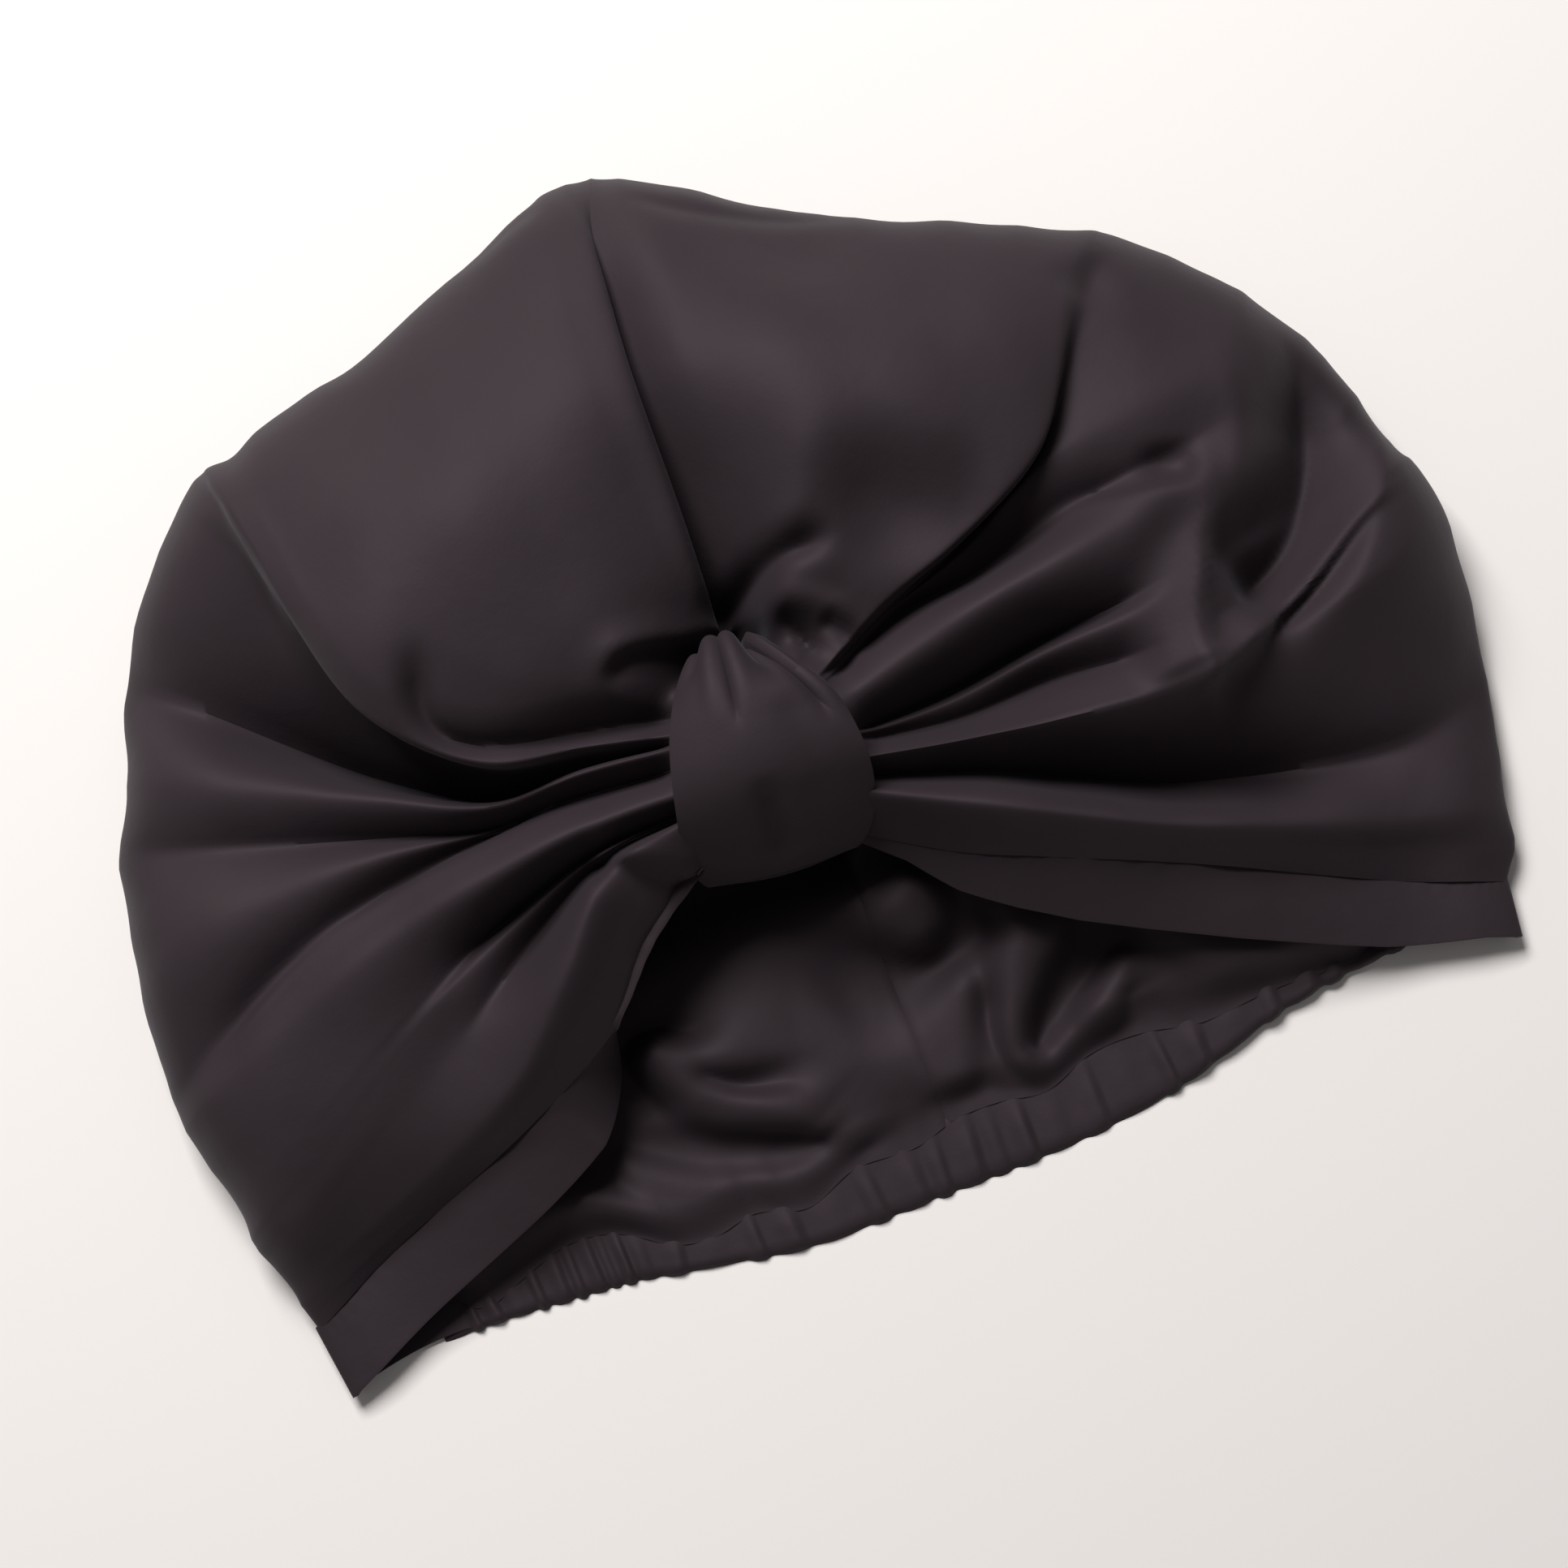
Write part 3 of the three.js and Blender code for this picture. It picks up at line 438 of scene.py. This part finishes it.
def nearest_on(line, x, y, reach):
    """Places in plan inside a line's box and its reach. For each: the nearest segment, the share along it, the distance
    and the side, which is 1 to the left of the line's direction."""
    low, high = line.min(0) - reach, line.max(0) + reach
    near = np.flatnonzero((x > low[0]) & (x < high[0]) & (y > low[1]) & (y < high[1]))
    along_x, along_y = np.diff(line, axis=0).T[:2]
    dx, dy = x[near, None] - line[:-1, 0], y[near, None] - line[:-1, 1]
    share = np.clip((dx * along_x + dy * along_y) / (along_x**2 + along_y**2), 0, 1)
    distance = np.hypot(dx - share * along_x, dy - share * along_y)
    row, segment = np.arange(len(near)), distance.argmin(1)
    side = np.sign(along_x[segment] * dy[row, segment] - along_y[segment] * dx[row, segment])
    return near, segment, share[row, segment], distance[row, segment], side


def press_stroke(points, weight, stroke):
    """Shapes the points (x, y, z) along one stroke, as far as their weight lets it."""
    line = spline(np.array(stroke.points, float), np.linspace(0, 1, STROKE_STEPS * len(stroke.points)))
    near, segment, share, distance, side = nearest_on(line, points[:, 0], points[:, 1], stroke.width)
    along = np.diff(line, axis=0)
    length = np.hypot(*along.T)
    walked = np.concatenate([[0], np.cumsum(length)])
    walk = (walked[segment] + share * length[segment]) / walked[-1]
    begin, end = stroke.ends
    strength = weight[near]
    if begin:
        strength = strength * smooth(walk / begin)
    if end:
        strength = strength * smooth((1 - walk) / end)
    falloff = np.clip(1 - distance / stroke.width, 0, 1)
    if stroke.kind == "level":
        points[near, 2] = blend(points[near, 2], stroke.height, strength * smooth(LEVEL_SPREAD * falloff))
        return
    if stroke.kind == "step":
        wall = np.clip(side * distance / STEP_HALF, -1, 1)
        shape = wall * (3 - wall**2) / 4 * falloff**2
        high = np.sign(stroke.height)
        lean = stroke.lean * high * strength * np.clip(1 - distance / LEAN_REACH, 0, 1) * np.clip(side * high, 0, 1)
        points[near, 0] += along[segment, 1] / length[segment] * lean
        points[near, 1] -= along[segment, 0] / length[segment] * lean
    elif stroke.kind == "roll":
        shape = smooth(falloff)
    else:
        shape = falloff ** FALLOFF_POWER[stroke.kind]
    points[near, 2] += stroke.height * strength * shape


def back_folds(x, y, plain):
    """Heights of the back panels at places in plan, drawn from plain to the heights of the lines that are near."""
    total = np.full(len(x), ((FOLD_REACH - PLAIN_FROM) / (FOLD_REACH * PLAIN_FROM)) ** 2)
    height = total * plain
    for fold in BACK_FOLDS:
        line = spline(np.array(fold.line, float), np.linspace(0, 1, FOLD_STEPS * len(fold.line)))
        near, segment, share, distance, _ = nearest_on(line, x, y, FOLD_REACH)
        distance = np.hypot(distance, FOLD_ROUND)
        weight = (np.clip(FOLD_REACH - distance, 0, None) / (FOLD_REACH * distance)) ** 2
        total[near] += weight
        height[near] += weight * blend(line[segment, 2], line[segment + 1, 2], share)
    return height / total


def fold_profile(heights, across, crisp):
    """Heights between the folds (rows, folds): round over ridges, pinched in valleys, and sharp where crisp is 1."""
    secant = np.diff(heights, axis=1)
    before, after = np.pad(secant, ((0, 0), (1, 0)), "edge"), np.pad(secant, ((0, 0), (0, 1)), "edge")
    ridge = np.clip(np.minimum(before, -after) / RIDGE_HEIGHT, 0, 1)
    valley = np.clip(np.minimum(-before, after) / RIDGE_HEIGHT, 0, 1)
    slope = (before + after) / 2 * (1 - ridge)
    arrive = blend(blend(slope, VALLEY_PINCH * before, valley), before, crisp)
    leave = blend(blend(slope, VALLEY_PINCH * after, valley), after, crisp)
    at = across * (heights.shape[1] - 1)
    i = np.minimum(at.astype(int), heights.shape[1] - 2)
    s = at - i
    return (
        heights[:, i] * (1 - 3 * s**2 + 2 * s**3) + leave[:, i] * (s - 2 * s**2 + s**3)
        + heights[:, i + 1] * (3 * s**2 - 2 * s**3) + arrive[:, i + 1] * (s**3 - s**2)
    )


def crown_surface(side):
    """Outer face of one crown panel as rows from the knot to the centre back and columns from the seam to the hem."""
    sign = SIDES[side]
    seam = SEAM._replace(turn=tuple(-sign * turn for turn in SEAM.turn))
    folds = (seam, *FOLDS[side])
    places = row_places(SPAN_ROWS)
    across = np.linspace(0, 1, COLUMNS[side] + 1)
    rows = spline(np.array([fold_line(sign, fold) for fold in folds]).transpose(1, 0, 2), places)
    grid = np.ascontiguousarray(spline(rows.transpose(1, 0, 2), across).transpose(1, 0, 2))
    grid[..., 2] = fold_profile(rows[..., 2], across, np.array([fold.crisp for fold in folds], float))
    bunch_gathers(grid, places, np.interp(across, np.linspace(0, 1, len(folds)), [fold.turn[0] for fold in folds]))
    crease_front(grid, places)
    fold_back(grid, places)
    soften(grid)
    grid[-1, :, 2] -= BACK_SEAM_GROOVE
    grid[..., 2] = np.maximum(grid[..., 2], 0.0)
    return grid


def bunch_gathers(grid, places, turn):
    """Raises the gathers inside the knot strip, so that they fill it."""
    bunched = smooth((turn - BUNCH_FROM) / BUNCH_FADE) * (1 - smooth((turn - BUNCH_TO) / BUNCH_FADE))
    bunched = (1 - smooth(places / BUNCH_END))[:, None] * bunched
    grid[..., 2] = np.maximum(grid[..., 2], blend(grid[..., 2], BUNCH_TOP, bunched))


def crease_front(grid, places):
    """Lays slight waves over the front, creases the side wall and presses in the strokes."""
    front = 1 - smooth((places - FRONT_FADE) / (FRONT_END - FRONT_FADE))
    points, weight = grid.reshape(-1, 3), np.repeat(front, grid.shape[1])
    waves = 0
    for i, length in enumerate(WAVE_LENGTHS):
        heading = 2 * i + 1
        way = points[:, 0] * math.cos(heading) + points[:, 1] * math.sin(heading)
        waves = waves + np.sin(2 * np.pi * way / length + i)
    points[:, 2] += WAVE_HEIGHT * waves * weight
    edge = grid[np.abs(places - EDGE_AT).argmin(), :, :2]
    along = np.concatenate([[0], np.cumsum(np.hypot(*np.diff(edge, axis=0).T))])
    creases = 0
    for i, length in enumerate(WALL_LENGTHS):
        creases = creases + np.abs(np.sin(np.pi * along / length + i)) ** CREASE_POWER - CREASE_MEAN
    wall = smooth((places - WALL_FROM) / WALL_RISE) * (1 - smooth((places - WALL_FADE) / (WALL_TO - WALL_FADE)))
    inwards = 1 - WALL_DENT * wall[:, None] * creases / np.hypot(grid[..., 0], grid[..., 1])
    grid[..., :2] *= inwards[..., None]
    for stroke in FRONT_STROKES:
        press_stroke(points, weight, stroke)


def fold_back(grid, places):
    """Lifts the back panels into the folds seen inside the opening, and laps their edge over the casing."""
    on_back = places >= BACK_START
    back = grid[on_back]
    x, y = back[..., 0].ravel(), back[..., 1].ravel()
    edge, fold = back_edge(x), casing_line(x, "fold")
    lapped = smooth((x - CASING_LEFT_X) / LAP_ENDS) * smooth((CASING_RIGHT_X - x) / LAP_ENDS)
    y = y - (edge - fold) * lapped * smooth(1 - (y - edge) / LAP_REACH)
    from_edge = y - blend(edge, fold, lapped)
    begun = smooth((places[on_back] - BACK_START) / BACK_START_FADE).repeat(back.shape[1])
    inner = smooth((BACK_FLAT_FROM - y) / BACK_FLAT_FADE) * begun
    billow = BACK_EDGE_LIFT + BACK_EDGE_RISE + BACK_BILLOW * smooth(from_edge / BILLOW_REACH)
    gathers, _ = pleat_shape(x + GATHER_SLANT * from_edge, np.ones(1))
    lifted = back_folds(x, y, billow) + gathers * np.exp(-np.maximum(from_edge, 0) / GATHER_REACH)
    lifted = blend(BACK_EDGE_LIFT, lifted, smooth(from_edge / BACK_EDGE_FADE))
    lifted = lifted + casing_line(x, "rise") * lapped * smooth(1 - from_edge / LAP_REACH)
    grid[on_back, :, 1] = y.reshape(back.shape[:2])
    grid[on_back, :, 2] = (np.maximum(lifted, 0) * inner).reshape(back.shape[:2])


def soften(grid):
    """Evens the points out towards their neighbours; the edges keep their places."""
    for _ in range(SOFTEN_ROUNDS):
        mean = (grid[:-2, 1:-1] + grid[2:, 1:-1] + grid[1:-1, :-2] + grid[1:-1, 2:]) / 4
        grid[1:-1, 1:-1] = blend(grid[1:-1, 1:-1], mean, SOFTEN_SHARE)


def back_edge(x):
    """The back panels' lower edge at places along x, from the hem folds where they lie on the floor."""
    places = np.linspace(BACK_START, 1, BACK_EDGE_STEPS)
    hems = [np.array(fold_line(SIDES[side], FOLDS[side][-1])) for side in SIDES]
    points = np.concatenate([spline(hem, places) for hem in hems])
    points = points[points[:, 0].argsort()]
    return np.interp(x, points[:, 0], points[:, 1])


def hem_surface(side):
    """Outer face of the hem on one side, from the knot round the corner to the back."""
    sign = SIDES[side]
    end = blend(BACK_START, 1, HEM_BACK_SHARE[side])
    places = np.linspace(0, end, HEM_ROWS + 1)
    top = spline(np.array(fold_line(sign, FOLDS[side][-1])), places)[:, None]
    x, y, z = top[..., 0], top[..., 1], top[..., 2]
    far = np.hypot(x, y)
    fall = np.radians(np.interp(places, np.linspace(0, 1, len(HEM_FALL)), HEM_FALL))[:, None]
    share = np.linspace(0, 1, HEM_COLUMNS + 1)[None]
    on_back = smooth((places - BACK_START) / (end - BACK_START))[:, None]
    on_front = smooth(z / HEM_FRONT_HEIGHT)
    distance = [band.distance for band in HEM_BANDS]
    width = np.interp(far, distance, [getattr(band, side + "_width") for band in HEM_BANDS])
    out = blend(HEM_TUCK, HEM_OUT + blend(width, HEM_END_WIDTH, on_back), share)
    roll = np.radians(np.interp(far, distance, [getattr(band, side + "_turn") for band in HEM_BANDS])) * on_front
    flat_out = out * np.cos(roll) - HEM_STEP * np.sin(roll)
    stitched = np.exp(-((share - STITCH_AT) / STITCH_SPREAD) ** 2) * on_front * np.cos(roll) ** 2
    pucker = PUCKER_HEIGHT * np.sin(places * PUCKER_PACE)[:, None] * stitched
    swell = HEM_SWELL * np.sin(np.pi * share) * on_front
    height = z - HEM_STEP * on_front * np.cos(roll) - np.maximum(out, 0) * np.sin(roll) + pucker + swell
    return np.stack([x - sign * flat_out * np.sin(fall), y - flat_out * np.cos(fall), np.maximum(height, 0)], -1)


def pleat_shape(x, across):
    """Height and lower bulge of the casing's pleats at places along x and across it, 1 at the lower edge."""
    height, bulge = np.zeros(np.broadcast(x, across).shape), np.zeros(x.shape)
    lower = blend(UPPER_HEIGHT, 1.0, smooth((across - UPPER_FROM) / UPPER_REACH))
    start = CASING_LEFT_X - PLEAT_LEAD
    for pleat in cycle(PLEATS):
        if start >= x.max():
            return height, bulge
        width = pleat.width * (TIGHT_SHARE if start < CASING_LEFT_X + TIGHT_END else 1)
        u = np.clip((x - start) / width, 0, 1)
        round_top = smooth(u / PLEAT_RISE) * (1 - smooth((u - PLEAT_FALL_FROM) / PLEAT_FALL))
        shown = blend(1 - smooth((1 - across - pleat.run) / RUN_FADE), 1.0, RUN_LEFT) * lower
        height += (pleat.height + pleat.tilt * (u - 0.5)) * round_top * shown
        bulge += pleat.bulge * smooth(BULGE_STEEPNESS - BULGE_STEEPNESS * np.abs(2 * u - 1))
        start += width


def casing_line(x, name):
    """One of the casing's edge lines at places along x."""
    edge = spline(np.array(CASING_EDGE, float), np.linspace(0, 1, CASING_LINE_STEPS))
    return np.interp(x, edge[:, 0], edge[:, CasingEdge._fields.index(name)])


def casing_surface():
    """The gathered tube of the elastic: rows along it, columns round it from its upper edge under to its lower edge."""
    x = np.linspace(CASING_LEFT_X, CASING_RIGHT_X, CASING_STEPS + 1)[:, None]
    over = np.linspace(1, 0, CASING_TOP)[None]
    under = np.linspace(FLOOR_FROM, FLOOR_TO, CASING_FLOOR)[None]
    sway = sum(amount * np.sin(x / pace) for amount, pace in PLEAT_SWAYS)
    height, _ = pleat_shape(x + sway * (over - 0.5), over)
    _, bulge = pleat_shape(x + sway * 0.5, np.ones((1, 1)))
    lower, upper = casing_line(x, "lower"), casing_line(x, "fold") + CASING_LAP
    rounded = np.sqrt(np.clip(1 - np.maximum(over - ROUND_FROM, 0) ** 2 / ROUND_REACH**2, 0, 1))
    ends = smooth((x - CASING_LEFT_X) / CASING_END_REACH) * smooth((CASING_RIGHT_X - x) / CASING_END_REACH)
    top_z = smooth(over / TOP_RISE) * rounded * blend(CASING_END_THICKNESS, CASING_THICKNESS + height, ends)
    across = np.concatenate([under + 0 * x, over + 0 * x, under[:, :1] + 0 * x], 1)
    z = np.concatenate([0 * x + 0 * under, top_z, 0 * x], 1) + casing_line(x, "rise")
    y = blend(upper, lower, across) + across**2 * (EDGE_DRAW - bulge)
    return np.stack([np.broadcast_to(x, z.shape), y, z], -1)


def knot_surface():
    """The strip round the gathers: rows from its lower end over the front and back inside, columns to the right."""
    share = np.linspace(0, 1, RING_ROWS + 1)[:, None]
    path = spline(np.array([row[1:] for row in STRIP], float), share[:, 0], closed=True)
    y, z, left, right = path.T[..., None]
    ahead, rise = (np.gradient(np.r_[line[-2], line, line[1]])[1:-1] for line in (y[:, 0], z[:, 0]))
    step = np.hypot(ahead, rise)
    out_y, out_z = (-rise / step)[:, None], (ahead / step)[:, None]
    across = np.linspace(-1, 1, RING_COLUMNS + 1)[None]
    x = np.where(across < 0, across * left, across * right)
    push = RING_CROWN * np.abs(out_z) * (1 - across**2)
    for fold in STRIP_FOLDS:
        strength = smooth((share - fold.start) / (fold.full - fold.start))
        strength = strength * (1 - smooth((share - fold.stop) / STRIP_FOLD_FADE))
        push = push + fold.height * strength * np.exp(-(((across - fold.across) / fold.spread) ** 2))
    y, z = y + push * out_y, z + push * out_z
    turn = math.radians(RING_TURN)
    return np.stack([
        RING_X + x * math.cos(turn) - y * math.sin(turn),
        RING_Y + x * math.sin(turn) + y * math.cos(turn),
        z + 0 * x,
    ], -1)


def cloth_piece(name, grid, thickness, material, outward_rows, fold_edge=0.0):
    """A sheet from a grid of points in millimetres, with its wall turned inwards and its edges folded round.
    Edges of the grid that meet are joined, and a thickness of 0 closes a tube's ends instead."""
    rows, columns = grid.shape[:2]
    bpy.ops.object.select_all(action="DESELECT")
    bpy.ops.mesh.primitive_grid_add(x_subdivisions=columns - 1, y_subdivisions=rows - 1, size=2)
    piece = bpy.context.object
    piece.name = piece.data.name = name
    count = len(piece.data.vertices)
    plain = np.empty(count * 3, np.float32)
    piece.data.vertices.foreach_get("co", plain)
    plain = plain.reshape(-1, 3)
    column = np.rint((plain[:, 0] + 1) / 2 * (columns - 1)).astype(int)
    row = np.rint((plain[:, 1] + 1) / 2 * (rows - 1)).astype(int)
    if not outward_rows:
        column = columns - 1 - column
    placed = (grid[row, column] + KNOT_PLACE) / PER_METRE
    piece.data.vertices.foreach_set("co", placed.astype(np.float32).ravel())
    piece.data.update()
    bpy.ops.object.mode_set(mode="EDIT")
    bpy.ops.mesh.select_all(action="SELECT")
    bpy.ops.mesh.remove_doubles(threshold=JOIN_DISTANCE)
    if not thickness:
        bpy.ops.mesh.select_non_manifold(extend=False)
        bpy.ops.mesh.fill_holes(sides=0)
    bpy.ops.object.mode_set(mode="OBJECT")
    if thickness:
        wall = piece.modifiers.new("wall", "SOLIDIFY")
        wall.thickness, wall.offset = thickness, -1
        wall.use_even_offset = False
        bpy.ops.object.modifier_apply(modifier=wall.name)
    if fold_edge:
        edge = piece.modifiers.new("folded edge", "BEVEL")
        edge.width, edge.segments, edge.limit_method = fold_edge, EDGE_SEGMENTS, "ANGLE"
        edge.angle_limit = SMOOTH_ANGLE
        bpy.ops.object.modifier_apply(modifier=edge.name)
    placed = np.empty(len(piece.data.vertices) * 3, np.float32)
    piece.data.vertices.foreach_get("co", placed)
    placed[2::3] = np.maximum(placed[2::3], 0)
    piece.data.vertices.foreach_set("co", placed)
    piece.data.update()
    bpy.ops.object.shade_smooth_by_angle(angle=SMOOTH_ANGLE)
    piece.data.materials.append(material)
    return piece


def linear(hex_colour):
    """An sRGB hex colour as linear RGBA."""
    values = [int(hex_colour[i : i + 2], 16) / 255 for i in (1, 3, 5)]
    return tuple(v / 12.92 if v <= 0.04045 else ((v + 0.055) / 1.055) ** 2.4 for v in values) + (1.0,)


def node(tree, kind, settings=None, **links):
    """Adds a node; settings are its attributes or input values, links its inputs from other nodes' outputs."""
    made = tree.nodes.new(kind)
    for key, value in (settings or {}).items():
        if key in made.inputs:
            made.inputs[key].default_value = value
        else:
            setattr(made, key, value)
    for key, output in links.items():
        tree.links.new(output, made.inputs[key.replace("_", " ")])
    return made


def black_satin(name, settings):
    """Polyester satin: long floats give a soft wide highlight, and the fine rib of the weave breaks it up."""
    material = bpy.data.materials.new(name)
    material.use_nodes = True
    tree = material.node_tree
    shader = tree.nodes["Principled BSDF"]
    place = node(tree, "ShaderNodeTexCoord").outputs["Object"]
    tone = node(tree, "ShaderNodeTexNoise", {"Scale": TONE_CELLS, "Detail": 2}, Vector=place)
    tint = node(tree, "ShaderNodeMix", {"data_type": "RGBA"}, Factor=tone.outputs["Fac"])
    for colour, mix_input in ((settings.satin_dark, 6), (settings.satin_light, 7)):
        tint.inputs[mix_input].default_value = linear(colour)
    tree.links.new(tint.outputs[2], shader.inputs["Base Color"])
    look = {
        "Roughness": settings.roughness,
        "Specular IOR Level": 0.2,
        "Specular Tint": linear("#f2e2ea"),
        "Sheen Weight": 0.18,
        "Sheen Roughness": 0.4,
        "Sheen Tint": linear("#8a8890"),
    }
    for key, value in look.items():
        shader.inputs[key].default_value = value
    rib = node(tree, "ShaderNodeTexNoise", {"Scale": RIB_CELLS, "Detail": 2}, Vector=place)
    bump = node(tree, "ShaderNodeBump", {"Strength": 0.12, "Distance": 0.0002}, Height=rib.outputs["Fac"])
    dimple = node(tree, "ShaderNodeTexNoise", {"Scale": DIMPLE_CELLS, "Detail": 3}, Vector=place)
    bump = node(tree, "ShaderNodeBump", {"Strength": 0.35, "Distance": 0.0006},
                Height=dimple.outputs["Fac"], Normal=bump.outputs["Normal"])
    tree.links.new(bump.outputs["Normal"], shader.inputs["Normal"])
    return material


class BonnetSettings(bpy.types.PropertyGroup):
    """Sizes and colours of the bonnet"""

    cloth: bpy.props.FloatProperty(
        name="Cloth", description="Thickness of the crown's cloth", default=0.0007, unit="LENGTH")
    satin_dark: bpy.props.StringProperty(
        name="Satin, dark", description="Darker tone of the satin, sRGB", default="#292226")
    satin_light: bpy.props.StringProperty(
        name="Satin, light", description="Lighter tone of the satin, sRGB", default="#30282c")
    roughness: bpy.props.FloatProperty(
        name="Roughness", description="Spread of the satin's highlight", default=0.66, subtype="FACTOR")


class StageSettings(bpy.types.PropertyGroup):
    """Camera, floor and light"""

    azimuth: bpy.props.FloatProperty(
        name="Azimuth", description="Turn of the camera", default=math.radians(-21.4), subtype="ANGLE")
    elevation: bpy.props.FloatProperty(
        name="Elevation", description="Camera above the horizon", default=math.radians(84), subtype="ANGLE")
    view_width: bpy.props.FloatProperty(
        name="View width", description="Width of the view where the bonnet lies", default=0.3362, unit="LENGTH")
    lens: bpy.props.FloatProperty(
        name="Lens", description="Focal length in millimetres", default=85)
    floor_colour: bpy.props.StringProperty(
        name="Floor", description="Colour of the floor, sRGB", default="#e9e3e0")
    key_power: bpy.props.FloatProperty(
        name="Key light", description="Power of the window light", default=27, unit="POWER")
    ambient: bpy.props.FloatProperty(
        name="Ambient", description="Strength of the light from all round", default=0.16)


class BONNET_OT_crown(bpy.types.Operator):
    """Shape the two gathered crown panels"""

    bl_idname = "bonnet.crown"
    bl_label = "Crown panels"

    def execute(self, context):
        settings = context.scene.bonnet
        satin = black_satin("crown polyester satin", settings)
        for side in SIDES:
            panel = cloth_piece(f"crown_{side}_satin", crown_surface(side), settings.cloth, satin, side == "right")
            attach(panel, "root")
            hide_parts(f"crown_{side}")
        return {"FINISHED"}


class BONNET_OT_hem(bpy.types.Operator):
    """Fold the two hem bands along the front of the opening"""

    bl_idname = "bonnet.hem"
    bl_label = "Hem bands"

    def execute(self, context):
        satin = black_satin("hem doubled satin", context.scene.bonnet)
        for side in SIDES:
            band = cloth_piece(f"hem_{side}_satin", hem_surface(side), HEM_WALL, satin, side == "right", FOLD_EDGE)
            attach(band, "root")
            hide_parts(f"hem_{side}")
        return {"FINISHED"}


class BONNET_OT_knot(bpy.types.Operator):
    """Wrap the strip round the gathers"""

    bl_idname = "bonnet.knot"
    bl_label = "Knot strip"

    def execute(self, context):
        satin = black_satin("knot doubled satin", context.scene.bonnet)
        strip = cloth_piece("knot_strip_satin", knot_surface(), RING_WALL, satin, False, FOLD_EDGE)
        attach(strip, "root")
        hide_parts("knot_strip")
        return {"FINISHED"}


class BONNET_OT_casing(bpy.types.Operator):
    """Gather the casing of the elastic"""

    bl_idname = "bonnet.casing"
    bl_label = "Elastic casing"

    def execute(self, context):
        satin = black_satin("casing gathered satin", context.scene.bonnet)
        tube = cloth_piece("elastic_casing_satin", casing_surface(), 0, satin, False)
        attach(tube, "root")
        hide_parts("elastic_casing")
        return {"FINISHED"}


class BONNET_OT_stage(bpy.types.Operator):
    """Set the floor, the light and the camera"""

    bl_idname = "bonnet.stage"
    bl_label = "Stage"

    def execute(self, context):
        stage = context.scene.bonnet_stage
        bpy.ops.object.select_all(action="DESELECT")
        bpy.ops.mesh.primitive_plane_add(size=FLOOR_SIZE)
        floor = context.object
        floor.name = "floor"
        # Matt paper: pale and even, so that the dark cloth and its soft shadow stand out.
        paper = bpy.data.materials.new("matt paper floor")
        paper.use_nodes = True
        shader = paper.node_tree.nodes["Principled BSDF"]
        shader.inputs["Base Color"].default_value = linear(stage.floor_colour)
        shader.inputs["Roughness"].default_value = FLOOR_ROUGHNESS
        floor.data.materials.append(paper)

        back = Vector((
            math.sin(stage.azimuth) * math.cos(stage.elevation),
            -math.cos(stage.azimuth) * math.cos(stage.elevation),
            math.sin(stage.elevation),
        ))
        right = Vector((math.cos(stage.azimuth), math.sin(stage.azimuth), 0))
        up = back.cross(right)
        aim = Vector(KNOT_PLACE + np.array([0, 0, AIM_HEIGHT])) / PER_METRE + right * AIM_RIGHT - up * AIM_DOWN
        aim -= back * ((aim.z - LIE_HEIGHT) / back.z)
        camera = bpy.data.objects.new("camera", bpy.data.cameras.new("camera"))
        camera.data.lens = stage.lens
        distance = stage.lens / camera.data.sensor_width * stage.view_width
        turned = Matrix((right, up, back)).transposed().to_4x4()
        camera.matrix_world = Matrix.Translation(aim + back * distance) @ turned
        context.collection.objects.link(camera)
        context.scene.camera = camera

        place = aim + up * LIGHT_UP - right * LIGHT_LEFT + back * LIGHT_BACK
        bpy.ops.object.light_add(type="AREA", location=place)
        key = context.object
        key.name = "window light"
        key.data.size = LIGHT_SIZE
        key.data.energy = stage.key_power
        key.rotation_euler = (aim - key.location).to_track_quat("-Z", "Y").to_euler()
        world = bpy.data.worlds.new("soft room")
        context.scene.world = world
        world.use_nodes = True
        sky = world.node_tree.nodes["Background"].inputs
        sky["Color"].default_value, sky["Strength"].default_value = (1, 1, 1, 1), stage.ambient
        context.scene.view_settings.view_transform = "Standard"
        return {"FINISHED"}


class BONNET_PT_panel(bpy.types.Panel):
    """Bonnet tools in the sidebar"""

    bl_label = "Satin bonnet"
    bl_idname = "BONNET_PT_panel"
    bl_space_type = "VIEW_3D"
    bl_region_type = "UI"
    bl_category = "Bonnet"

    def draw(self, context):
        for group in (context.scene.bonnet, context.scene.bonnet_stage):
            for key in group.bl_rna.properties.keys():
                if key not in ("rna_type", "name"):
                    self.layout.prop(group, key)
        for operator in OPERATORS:
            self.layout.operator(operator.bl_idname)


OPERATORS = (BONNET_OT_stage, BONNET_OT_crown, BONNET_OT_hem, BONNET_OT_knot, BONNET_OT_casing)
CLASSES = (BonnetSettings, StageSettings, *OPERATORS, BONNET_PT_panel)


def register():
    for made in CLASSES:
        bpy.utils.register_class(made)
    bpy.types.Scene.bonnet = bpy.props.PointerProperty(type=BonnetSettings)
    bpy.types.Scene.bonnet_stage = bpy.props.PointerProperty(type=StageSettings)


def unregister():
    del bpy.types.Scene.bonnet, bpy.types.Scene.bonnet_stage
    for made in reversed(CLASSES):
        bpy.utils.unregister_class(made)


def main():
    register()
    bpy.ops.bonnet.stage()
    bpy.ops.bonnet.crown()
    bpy.ops.bonnet.hem()
    bpy.ops.bonnet.knot()
    bpy.ops.bonnet.casing()


if __name__ == "__main__":
    main()
